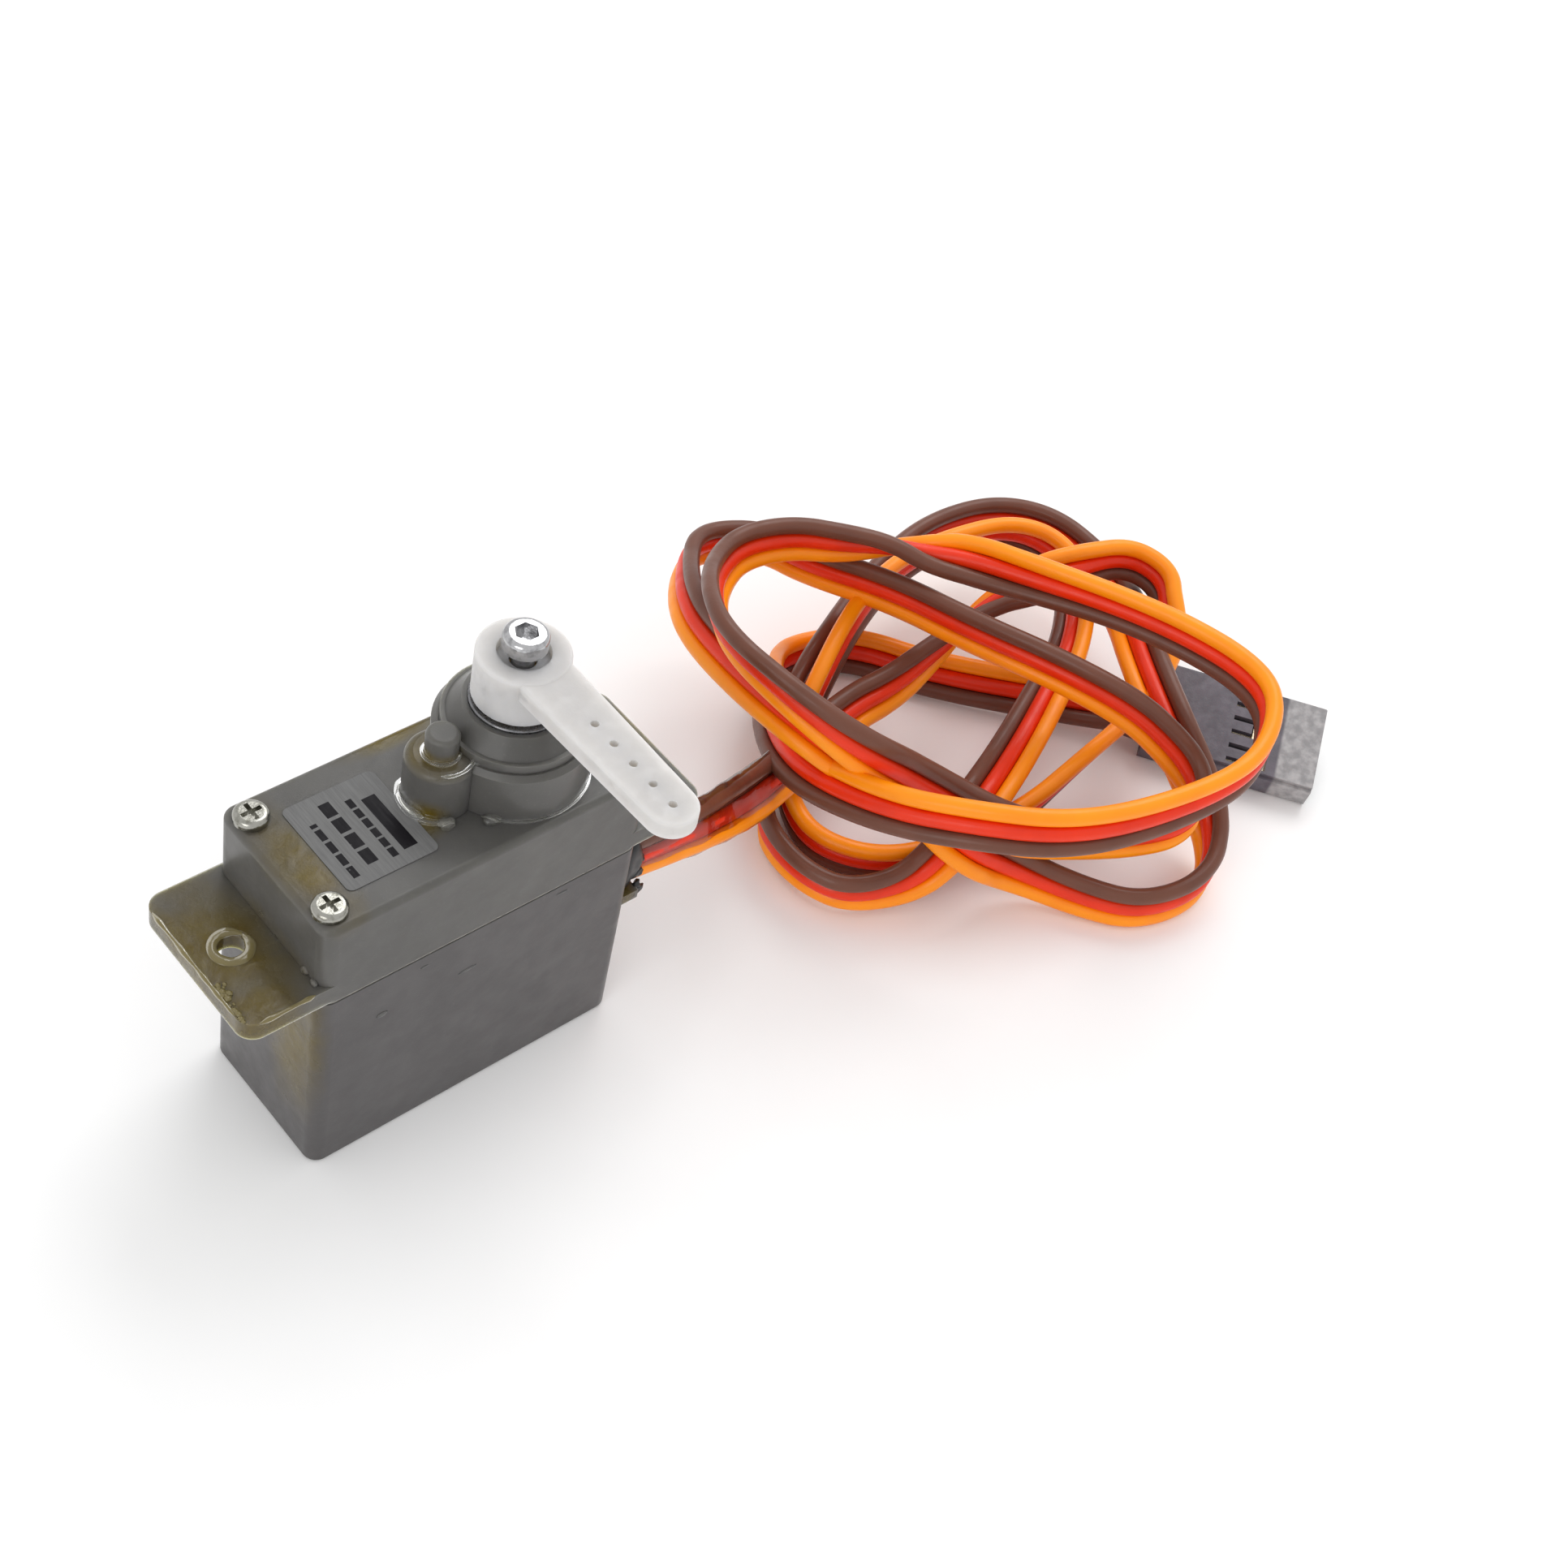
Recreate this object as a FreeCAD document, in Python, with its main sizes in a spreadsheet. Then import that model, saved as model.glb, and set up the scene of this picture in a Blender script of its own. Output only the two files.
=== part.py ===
import FreeCAD, Part
import math
import os
import re

import Sketcher
from FreeCAD import Placement, Rotation, Vector
from fcgear import fcgear, involute

# Sub-micro servo motor: two-shell case with mounting tabs, geared motor, horn and lead.
# Frame: origin at the centre of the case's bottom face, X along the case (+X is the
# output and cable end), Y across it, +Z up. The horn points to -Y at rest.

DIMENSIONS = [
    # alias, millimetres, meaning
    ("case_length", 24.0, "case, along X"),
    ("case_width", 11.4, "case, along Y"),
    ("corner_radius", 1.0, "upright corners of the case"),
    ("wall", 0.9, "shell wall"),
    ("split_height", 16.8, "joint between lower and upper shell"),
    ("seam_radius", 0.2, "rounding of the lower shell's rim, seen as the seam line"),
    ("case_height", 23.5, "top face of the upper shell"),
    ("top_edge_radius", 0.45, "rounding of the top face's rim"),
    ("tab_span", 34.2, "over both mounting tabs"),
    ("tab_bottom", 17.0, "underside of the tabs"),
    ("tab_thickness", 1.4, "mounting tabs"),
    ("tab_corner", 1.2, "outer corners of the tabs"),
    ("tab_hole_x", 14.55, "screw holes, from the case's middle"),
    ("tab_hole_radius", 1.0, "screw holes in the tabs"),
    ("output_x", 5.0, "output axis"),
    ("tower_radius", 5.0, "round tower under the horn"),
    ("tower_shoulder", 27.2, "top of the tower's cylinder"),
    ("tower_step_radius", 4.55, "low step on the tower"),
    ("tower_step_top", 27.85, "top of that step"),
    ("tower_cone_radius", 4.25, "foot of the tower's cone"),
    ("tower_lip_radius", 3.35, "top of the tower's cone"),
    ("tower_height", 29.0, "top of the tower"),
    ("pin_x", -0.4, "axis of the steel gear pin"),
    ("pin_radius", 0.5, "steel gear pin"),
    ("boss_radius", 2.2, "small boss over the gear pin"),
    ("boss_height", 27.3, "top of the small boss"),
    ("nub_radius", 1.05, "nub on the small boss"),
    ("nub_height", 29.0, "top of the nub"),
    ("case_screw_x", -10.7, "case screws at the motor end"),
    ("case_screw_y", 4.1, "case screws, each side of the middle"),
    ("column_radius", 1.2, "screw columns"),
    ("screw_radius", 0.6, "case screw thread"),
    ("screw_head_radius", 1.12, "case screw head"),
    ("screw_head_height", 0.62, "case screw head"),
    ("screw_tip", 11.0, "tip of the case screws"),
    ("plate_bottom", 15.7, "gear plate"),
    ("plate_thickness", 0.8, "gear plate"),
    ("motor_x", -5.6, "motor axis"),
    ("motor_radius", 5.0, "motor can"),
    ("motor_flat", 9.2, "motor can across its flats"),
    ("motor_bottom", 3.1, "motor can"),
    ("motor_top", 15.5, "motor can"),
    ("motor_sheet", 0.5, "motor can sheet"),
    ("rotor_radius", 3.6, "armature"),
    ("motor_shaft_radius", 0.4, "motor shaft"),
    ("wheel_thickness", 0.7, "gear wheels"),
    ("pinion_height", 1.35, "pinions of the first stages"),
    ("output_gear_thickness", 1.4, "output gear"),
    ("fine_module", 0.2, "teeth of the first three stages"),
    ("coarse_module", 0.3, "teeth of the last stage, which carries the load"),
    ("gear_hub_radius", 1.2, "output shaft inside the output gear"),
    ("gear_clearance", 0.05, "bores that turn on the pin or the stem"),
    ("stem_radius", 0.7, "lower stem of the output shaft"),
    ("journal_radius", 2.0, "output shaft in its bearing"),
    ("spline_radius", 1.98, "splined end of the output shaft"),
    ("spline_top", 31.6, "end of the output shaft"),
    ("bearing_radius", 3.0, "output bearing, outside"),
    ("bearing_bottom", 26.9, "output bearing"),
    ("bearing_top", 29.2, "output bearing"),
    ("horn_bottom", 29.45, "underside of the horn's hub"),
    ("horn_top", 33.0, "top of the horn's hub"),
    ("hub_radius", 2.9, "horn's hub"),
    ("arm_thickness", 1.2, "horn's arm"),
    ("arm_root_width", 3.95, "horn's arm at the hub"),
    ("arm_tip_radius", 1.65, "rounded end of the arm"),
    ("arm_reach", 13.9, "output axis to the centre of the arm's round end"),
    ("arm_hole_first", 6.8, "output axis to the first rod hole"),
    ("arm_hole_pitch", 1.8, "rod holes"),
    ("arm_hole_radius", 0.27, "rod holes"),
    ("horn_screw_radius", 0.72, "horn screw thread"),
    ("horn_screw_head", 1.42, "horn screw head"),
    ("horn_screw_head_bottom", 33.45, "horn screw stands proud of the hub"),
    ("horn_screw_top", 34.55, "top of the horn screw"),
    ("cable_y", -4.4, "lead leaves the end wall here"),
    ("cable_z", 13.6, "lead leaves the end wall here"),
    ("grommet_width", 1.8, "rubber grommet"),
    ("grommet_height", 4.2, "rubber grommet"),
    ("grommet_front", 13.3, "outer face of the grommet"),
    ("cable_radius", 1.9, "tube that stands for the flat lead"),
    ("coil_height", 20.0, "loose loops of the lead"),
    ("coil_left", 28.0, "side of the loops that the lead enters"),
    ("plug_length", 13.7, "connector housing"),
    ("plug_width", 7.8, "connector housing"),
    ("plug_thickness", 2.6, "connector housing"),
    ("plug_pitch", 2.54, "contact pitch"),
    ("latch_width", 1.27, "latch tongue over each contact, slit to slit"),
    ("latch_length", 1.6, "latch tongue"),
    ("latch_slit", 0.42, "slit on each side of a latch tongue"),
    ("latch_end", 1.3, "free end of the tongues, from the housing's middle"),
    ("latch_window", 1.6, "window past each tongue, with the contact in it"),
]

# Gear teeth. Heights are in modules: pinions have the taller tips, so that no tip of a
# wheel reaches below the pinion's base circle.
PRESSURE_ANGLE = math.radians(25)
PINION_TEETH = 10
WHEEL_1_TEETH = 42
WHEEL_2_TEETH = 44
WHEEL_3_TEETH = 44
OUTPUT_TEETH = 26
PINION_TIP, PINION_ROOT = 1.05, 0.8
WHEEL_TIP, WHEEL_ROOT = 0.5, 1.3
ROOT_FILLET = 0.2
FLANK_BACKLASH = 0.06  # taken off each flank

doc = FreeCAD.newDocument("servo_motor")
sheet = doc.addObject("Spreadsheet::Sheet", "Dims")
for row, (alias, value, meaning) in enumerate(DIMENSIONS, start=1):
    sheet.set(f"A{row}", meaning)
    sheet.set(f"B{row}", str(value))
    sheet.setAlias(f"B{row}", alias)
doc.recompute()
ALIASES = {alias for alias, _, _ in DIMENSIONS}
PLACES = {
    "x": "Placement.Base.x", "y": "Placement.Base.y", "z": "Placement.Base.z",
    "dx": "AttachmentOffset.Base.x", "dy": "AttachmentOffset.Base.y", "dz": "AttachmentOffset.Base.z",
}
nodes = []


def dim(alias):
    """A driving dimension's value."""
    return float(sheet.get(alias))


def bind(obj, **formulas):
    """Ties properties to formulas in which a dimension's alias stands for its cell."""
    for key, formula in formulas.items():
        text = re.sub(
            r"[a-z_][a-z_0-9]*",
            lambda word: f"Dims.{word.group()}" if word.group() in ALIASES else word.group(),
            str(formula),
        )
        obj.setExpression(PLACES.get(key, key), text)
    return obj


def keep(obj, name):
    """Makes an object a sub-part of the model, with its file's name as its label."""
    obj.Label = name
    nodes.append(obj)
    return obj


# --- Part primitives and booleans -------------------------------------------------

def block(name, length, width, height, x="0", y="0", z="0"):
    """A box centred on x and y that stands on z."""
    obj = doc.addObject("Part::Box", name)
    return bind(obj, Length=length, Width=width, Height=height,
                x=f"{x} - ({length}) / 2", y=f"{y} - ({width}) / 2", z=z)


def rod(name, radius, bottom, top, x="0", y="0"):
    obj = doc.addObject("Part::Cylinder", name)
    return bind(obj, Radius=radius, Height=f"{top} - ({bottom})", x=x, y=y, z=bottom)


def fuse(name, *shapes):
    obj = doc.addObject("Part::MultiFuse", name)
    obj.Shapes = list(shapes)
    obj.Refine = True
    return obj


def cut(name, base, *tools):
    obj = doc.addObject("Part::Cut", name)
    obj.Base = base
    obj.Tool = tools[0] if len(tools) == 1 else fuse(name + "_tools", *tools)
    obj.Refine = True
    return obj


def common(name, *shapes):
    obj = doc.addObject("Part::MultiCommon", name)
    obj.Shapes = list(shapes)
    return obj


def rounded(name, base, radius, chosen):
    """A fillet on the edges of base that the test chosen(edge) picks."""
    doc.recompute()
    edges = [(i, radius, radius) for i, edge in enumerate(base.Shape.Edges, start=1) if chosen(edge)]
    obj = doc.addObject("Part::Fillet", name)
    obj.Base = base
    obj.Edges = edges
    return obj


def upright(edge):
    """A straight edge along Z."""
    box = edge.BoundBox
    return box.ZLength > 0.05 and box.XLength < 1e-6 and box.YLength < 1e-6


def level_at(height):
    """A test for edges that lie in the plane z = height."""
    return lambda edge: abs(edge.BoundBox.ZMin - height) < 1e-5 and abs(edge.BoundBox.ZMax - height) < 1e-5


def ring_at(height, radius):
    """A test for circles of this radius in the plane z = height."""
    in_plane = level_at(height)
    return lambda edge: (in_plane(edge) and isinstance(edge.Curve, Part.Circle)
                         and abs(edge.Curve.Radius - radius) < 1e-5)


# --- PartDesign bodies ------------------------------------------------------------

def new_body(name):
    return keep(doc.addObject("PartDesign::Body", name), name)


def floor_plane(body):
    return next(f for f in body.Origin.OriginFeatures if f.Role == "XY_Plane")


def attach(feature, body, **offsets):
    feature.AttachmentSupport = (floor_plane(body), "")
    feature.MapMode = "FlatFace"
    return bind(feature, **offsets)


def rectangle_sketch(body, name, length, width, radius, bottom, x="0"):
    """A rounded rectangle, symmetric about the X axis, centred on x."""
    sketch = body.newObject("Sketcher::SketchObject", name)
    attach(sketch, body, dx=x, dz=bottom)
    half_x, half_y, r = 5.0, 3.0, 0.5
    line = lambda a, b: Part.LineSegment(Vector(*a, 0), Vector(*b, 0))
    corner = lambda cx, cy, start: Part.ArcOfCircle(
        Part.Circle(Vector(cx, cy, 0), Vector(0, 0, 1), r), math.radians(start), math.radians(start + 90))
    sides = [
        line((-half_x + r, -half_y), (half_x - r, -half_y)),
        line((half_x, -half_y + r), (half_x, half_y - r)),
        line((half_x - r, half_y), (-half_x + r, half_y)),
        line((-half_x, half_y - r), (-half_x, -half_y + r)),
    ]
    corners = [
        corner(half_x - r, -half_y + r, 270), corner(half_x - r, half_y - r, 0),
        corner(-half_x + r, half_y - r, 90), corner(-half_x + r, -half_y + r, 180),
    ]
    sketch.addGeometry(sides + corners, False)
    add = lambda *args: sketch.addConstraint(Sketcher.Constraint(*args))
    for side in range(4):
        add("Tangent", side, 2, 4 + side, 1)
        add("Tangent", 4 + side, 2, (side + 1) % 4, 1)
    add("Horizontal", 2)
    add("Vertical", 3)
    for side in (5, 6, 7):
        add("Equal", 4, side)
    add("Symmetric", 0, 1, 0, 2, -2)
    add("Symmetric", 1, 1, 1, 2, -1)
    for kind, args, label, formula in (
        ("Radius", (4, r), "radius", radius),
        ("DistanceX", (3, 1, 1, 1, 2 * half_x), "length", length),
        ("DistanceY", (0, 1, 2, 1, 2 * half_y), "width", width),
    ):
        index = add(kind, *args)
        sketch.renameConstraint(index, label)
        bind(sketch, **{f"Constraints.{label}": formula})
    return sketch


def pad(body, name, sketch, height):
    obj = body.newObject("PartDesign::Pad", name)
    obj.Profile = sketch
    return bind(obj, Length=height)


def pocket(body, name, sketch, depth, upwards=False):
    obj = body.newObject("PartDesign::Pocket", name)
    obj.Profile = sketch
    obj.Reversed = upwards
    return bind(obj, Length=depth)


def add_rod(body, name, radius, bottom, top, x="0", y="0", hole=False):
    kind = "Subtractive" if hole else "Additive"
    obj = body.newObject(f"PartDesign::{kind}Cylinder", name)
    attach(obj, body, dx=x, dy=y, dz=bottom)
    return bind(obj, Radius=radius, Height=f"{top} - ({bottom})")


def add_cone(body, name, radius_low, radius_high, bottom, top, x="0", y="0", hole=False):
    kind = "Subtractive" if hole else "Additive"
    obj = body.newObject(f"PartDesign::{kind}Cone", name)
    attach(obj, body, dx=x, dy=y, dz=bottom)
    return bind(obj, Radius1=radius_low, Radius2=radius_high, Height=f"{top} - ({bottom})")


def add_block(body, name, length, width, bottom, top, x="0", y="0", hole=False):
    kind = "Subtractive" if hole else "Additive"
    obj = body.newObject(f"PartDesign::{kind}Box", name)
    attach(obj, body, dx=f"{x} - ({length}) / 2", dy=f"{y} - ({width}) / 2", dz=bottom)
    return bind(obj, Length=length, Width=width, Height=f"{top} - ({bottom})")


def body_fillet(body, name, radius, *tests):
    """Rounds the edges of the body's tip that any of the tests picks."""
    doc.recompute()
    tip = body.Tip
    picked = [f"Edge{i}" for i, edge in enumerate(tip.Shape.Edges, start=1)
              if any(test(edge) for test in tests)]
    obj = body.newObject("PartDesign::Fillet", name)
    obj.Base = (tip, picked)
    return bind(obj, Radius=radius)


def in_both_columns(action):
    """Runs action(name, x, y) for the two screw columns at the motor end."""
    for side, sign in (("near", "-"), ("far", "")):
        action(side, "case_screw_x", f"{sign}case_screw_y")


# --- Case -------------------------------------------------------------------------

def lower_case():
    body = new_body("lower_case")
    outline = rectangle_sketch(body, "tub_outline", "case_length", "case_width", "corner_radius", "0")
    pad(body, "tub", outline, "split_height")
    body_fillet(body, "tub_foot", "0.35", level_at(0.0))
    body_fillet(body, "tub_seam", "seam_radius", level_at(dim("split_height")))
    hollow = rectangle_sketch(body, "tub_hollow", "case_length - 2 * wall", "case_width - 2 * wall",
                              "corner_radius / 2", "split_height")
    pocket(body, "tub_room", hollow, "split_height - wall")
    in_both_columns(lambda side, x, y: add_rod(body, f"tub_column_{side}", "column_radius",
                                               "wall / 2", "split_height", x, y))
    in_both_columns(lambda side, x, y: add_rod(body, f"tub_pilot_{side}", "screw_radius + 0.02",
                                               "screw_tip - 0.5", "split_height", x, y, hole=True))
    for side, x in (("left", "-6"), ("right", "8")):
        add_block(body, f"board_rib_{side}", "0.8", "case_width - wall", "wall / 2", "1.5", x)
    for side, y in (("near", "-case_width / 2 + 1.25"), ("far", "case_width / 2 - 1.25")):
        add_block(body, f"plate_ledge_{side}", "3", "0.9", "plate_bottom - 0.8", "plate_bottom", "-0.2", y)
    add_block(body, "cable_lip", "1.6", "grommet_width + 0.4", "cable_z - grommet_height / 2 - 0.8",
              "cable_z - grommet_height / 2 - 0.02", "case_length / 2 + 0.1", "cable_y")
    add_block(body, "cable_slot", "2.6", "grommet_width + 0.04", "cable_z - grommet_height / 2 - 0.02",
              "cable_z + grommet_height / 2 + 0.02", "case_length / 2", "cable_y", hole=True)


def upper_case():
    body = new_body("upper_case")
    outline = rectangle_sketch(body, "lid_outline", "case_length", "case_width", "corner_radius",
                               "split_height")
    pad(body, "lid", outline, "case_height - split_height")
    tab_outline = rectangle_sketch(body, "tab_outline", "tab_span", "case_width", "tab_corner",
                                   "tab_bottom")
    pad(body, "tabs", tab_outline, "tab_thickness")
    body_fillet(body, "lid_rim", "top_edge_radius", level_at(dim("case_height")))
    add_rod(body, "boss", "boss_radius", "case_height - 1", "boss_height", "pin_x")
    body_fillet(body, "boss_edge", "0.55", ring_at(dim("boss_height"), dim("boss_radius")))
    add_rod(body, "nub", "nub_radius", "boss_height - 0.5", "nub_height", "pin_x")
    body_fillet(body, "nub_edge", "0.3", ring_at(dim("nub_height"), dim("nub_radius")))
    add_rod(body, "tower", "tower_radius", "case_height - 1", "tower_shoulder - 0.35", "output_x")
    add_cone(body, "tower_edge", "tower_radius", "tower_radius - 0.3", "tower_shoulder - 0.35",
             "tower_shoulder", "output_x")
    add_rod(body, "tower_step", "tower_step_radius", "tower_shoulder - 0.5", "tower_step_top", "output_x")
    add_cone(body, "tower_cone", "tower_cone_radius", "tower_lip_radius", "tower_step_top",
             "tower_height", "output_x")
    hollow = rectangle_sketch(body, "lid_hollow", "case_length - 2 * wall", "case_width - 2 * wall",
                              "corner_radius / 2", "split_height")
    pocket(body, "lid_room", hollow, "case_height - wall - split_height", upwards=True)
    in_both_columns(lambda side, x, y: add_rod(body, f"lid_column_{side}", "column_radius",
                                               "split_height", "case_height - wall / 2", x, y))
    in_both_columns(lambda side, x, y: add_rod(body, f"lid_hole_{side}", "screw_radius + 0.05",
                                               "split_height - 1", "case_height + 1", x, y, hole=True))
    for side, x in (("left", "-tab_hole_x"), ("right", "tab_hole_x")):
        add_rod(body, f"tab_hole_{side}", "tab_hole_radius", "tab_bottom - 1", "tab_bottom + 3", x,
                hole=True)
        add_cone(body, f"tab_rim_{side}", "tab_hole_radius", "tab_hole_radius + 0.35",
                 "tab_bottom + tab_thickness - 0.3", "tab_bottom + tab_thickness + 0.05", x, hole=True)
    add_rod(body, "shaft_hole", "journal_radius + 0.3", "case_height - 2", "tower_height + 1", "output_x",
            hole=True)
    add_rod(body, "bearing_seat", "bearing_radius + 0.02", "bearing_bottom", "tower_height + 1",
            "output_x", hole=True)
    add_rod(body, "pin_seat", "pin_radius + 0.02", "case_height - 2", "boss_height - 0.8", "pin_x",
            hole=True)


def gear_plate():
    body = new_body("gear_plate")
    outline = rectangle_sketch(body, "plate_outline", "case_length - 2 * wall - 0.2",
                               "case_width - 2 * wall - 0.2", "0.4", "plate_bottom")
    pad(body, "plate", outline, "plate_thickness")
    top = "plate_bottom + plate_thickness + 1"
    in_both_columns(lambda side, x, y: add_rod(body, f"plate_notch_{side}", "column_radius + 0.1",
                                               "plate_bottom - 1", top, x, y, hole=True))
    for name, radius, x in (("motor_opening", "1.5", "motor_x"), ("pin_hole", "pin_radius + 0.02", "pin_x"),
                            ("stem_hole", "stem_radius + 0.2", "output_x")):
        add_rod(body, name, radius, "plate_bottom - 1", top, x, hole=True)
    add_block(body, "lead_notch", "1.6", "2.4", "plate_bottom - 1", top, "case_length / 2 - wall",
              "cable_y", hole=True)


def case_label():
    body = new_body("label")
    outline = rectangle_sketch(body, "label_outline", "6.4", "7.3", "0.45", "case_height", x="-5.85")
    pad(body, "foil", outline, "0.06")


def case_screws():
    """Two identical pan-head cross-recess screws at the motor end."""
    solids = []

    def screw(side, x, y):
        head = rod(f"head_{side}", "screw_head_radius", "case_height",
                   "case_height + screw_head_height", x, y)
        top = dim("case_height") + dim("screw_head_height")
        dome = rounded(f"dome_{side}", head, 0.36, level_at(top))
        thread = rod(f"thread_{side}", "screw_radius", "screw_tip", "case_height + 0.1", x, y)
        recess = "case_height + screw_head_height - 0.4"
        bars = [block(f"recess_{side}_{n}", a, b, "0.6", x, y, recess)
                for n, a, b in ((1, "1.35", "0.3"), (2, "0.3", "1.35"))]
        solids.append(cut(f"screw_{side}", fuse(f"screw_blank_{side}", dome, thread), *bars))

    in_both_columns(screw)
    keep(fuse("case_screws", *solids), "case_screws")


# --- Motor and electronics --------------------------------------------------------

def motor_outline(name, radius, flat, bottom, top):
    """A round can with two flats across Y."""
    return common(name, rod(name + "_round", radius, bottom, top, "motor_x"),
                  block(name + "_flats", f"2 * ({radius}) + 1", flat, f"{top} - ({bottom})", "motor_x",
                        "0", bottom))


def motor():
    can = fuse("can_blank", motor_outline("can_outside", "motor_radius", "motor_flat", "motor_bottom",
                                          "motor_top"),
               rod("can_boss", "1.3", "motor_top - 0.1", "motor_top + 0.6", "motor_x"))
    room = motor_outline("can_inside", "motor_radius - motor_sheet", "motor_flat - 2 * motor_sheet",
                         "motor_bottom - 1", "motor_top - motor_sheet")
    bore = rod("can_bore", "motor_shaft_radius + gear_clearance", "motor_top - 1", "motor_top + 1",
               "motor_x")
    keep(cut("motor_can", can, room, bore), "motor_can")

    cap = motor_outline("cap_blank", "motor_radius", "motor_flat", "motor_bottom - 0.7", "motor_bottom")
    keep(cut("motor_end_cap", cap, rod("cap_bore", "motor_shaft_radius + gear_clearance",
                                       "motor_bottom - 1", "motor_bottom + 1", "motor_x")),
         "motor_end_cap")

    inner = "motor_radius - motor_sheet - 0.65"
    outer = "motor_radius - motor_sheet - 0.02"
    for name, x in (("motor_magnet_left", "motor_x - 5"), ("motor_magnet_right", "motor_x + 5")):
        ring = cut(name + "_ring", rod(name + "_outside", outer, "4.6", "13.2", "motor_x"),
                   rod(name + "_inside", inner, "4", "14", "motor_x"))
        wedge = block(name + "_side", "4.6", "5.8", "12", x, "0", "4")
        keep(common(name, ring, wedge), name)

    core = rod("core", "rotor_radius", "4.8", "13.0", "motor_x")
    slots = [rod(f"slot_{k}", "0.55", "4.4", "13.4", f"motor_x + rotor_radius * cos({120 * k} deg)",
                 f"rotor_radius * sin({120 * k} deg)") for k in range(3)]
    commutator = rod("commutator", "1.2", "3.4", "4.9", "motor_x")
    shaft = rod("motor_shaft", "motor_shaft_radius", "motor_bottom - 0.5", "plate_bottom + 2.2", "motor_x")
    keep(cut("motor_rotor", fuse("rotor_blank", core, commutator, shaft), *slots), "motor_rotor")


def potentiometer():
    housing = rounded("pot_rounded", block("pot_block", "8.4", "8.4", "2.6", "output_x", "0", "11.4"), 0.6,
                      upright)
    keep(cut("potentiometer", housing, rod("pot_bore", "1.5", "12.0", "15", "output_x")), "potentiometer")
    wiper = rod("wiper_hub", "1.4", "12.1", "14.7", "output_x")
    keep(cut("pot_rotor", wiper, rod("wiper_bore", "stem_radius", "12", "15", "output_x")), "pot_rotor")


def circuit():
    blank = block("board_blank", "case_length - 2 * wall - 0.6",
                  "case_width - 2 * wall - 0.4", "0.6", "0", "0", "1.5")
    board = rounded("board_rounded", blank, 0.4, upright)
    notches = []
    in_both_columns(lambda side, x, y: notches.append(rod(f"board_notch_{side}", "column_radius + 0.15",
                                                          "1", "3", x, y)))
    keep(cut("circuit_board", board, *notches), "circuit_board")
    for name, length, width, height, x, y in (
        ("control_chip", "4.4", "5.0", "1.1", "7.6", "0"),
        ("driver_chip", "3.0", "3.9", "0.9", "3.0", "0"),
        ("capacitor", "1.6", "0.9", "0.8", "1.2", "3.2"),
    ):
        keep(rounded(name, block(name + "_blank", length, width, height, x, y, "2.1"), 0.12, upright), name)


# --- Gear train -------------------------------------------------------------------
# Each wheel meshes with the pinion before it. Axes: motor, pin and output, all on Y = 0.

def tooth_profile(module, teeth):
    """An involute gear outline with a tooth centred on +X."""
    tip, root = (PINION_TIP, PINION_ROOT) if teeth == PINION_TEETH else (WHEEL_TIP, WHEEL_ROOT)
    wires = fcgear.FCWireBuilder()
    involute.CreateExternalGear(wires, module, teeth, PRESSURE_ANGLE, True, tip, root, ROOT_FILLET)
    return Part.Face(Part.Wire([edge.toShape() for edge in wires.wire]))


def toothed_disc(module, teeth, bottom, thickness, phase):
    """A toothed disc, turned by phase degrees, with its flanks eased for backlash."""
    ease = math.degrees(FLANK_BACKLASH / (teeth / 2))
    flanks = []
    for turn in (-ease, ease):
        side = tooth_profile(module, teeth).extrude(Vector(0, 0, thickness))
        side.rotate(Vector(0, 0, 0), Vector(0, 0, 1), phase + turn)
        side.translate(Vector(0, 0, bottom))
        flanks.append(side)
    return flanks[0].common(flanks[1])


def meshing_phase(teeth_a, phase_a, direction, teeth_b):
    """Turns gear b so that a tooth of a at this direction (degrees, a to b) meets its gap."""
    part_a = (direction - phase_a) * teeth_a / 360.0
    part_b = 0.5 - part_a
    return (direction + 180.0) - part_b * 360.0 / teeth_b


def gear(name, x, bore, discs):
    """A gear of stacked toothed discs (module, teeth, bottom, thickness, phase) on its axis."""
    shape = None
    for disc in discs:
        solid = toothed_disc(*disc)
        shape = solid if shape is None else shape.fuse(solid)
    bottom = min(disc[2] for disc in discs)
    hole = Part.makeCylinder(bore, 20, Vector(0, 0, bottom - 1))
    obj = doc.addObject("Part::Feature", name)
    obj.Shape = shape.cut(hole)
    obj.Placement = Placement(Vector(x, 0, 0), Rotation())
    keep(obj, name)


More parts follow.
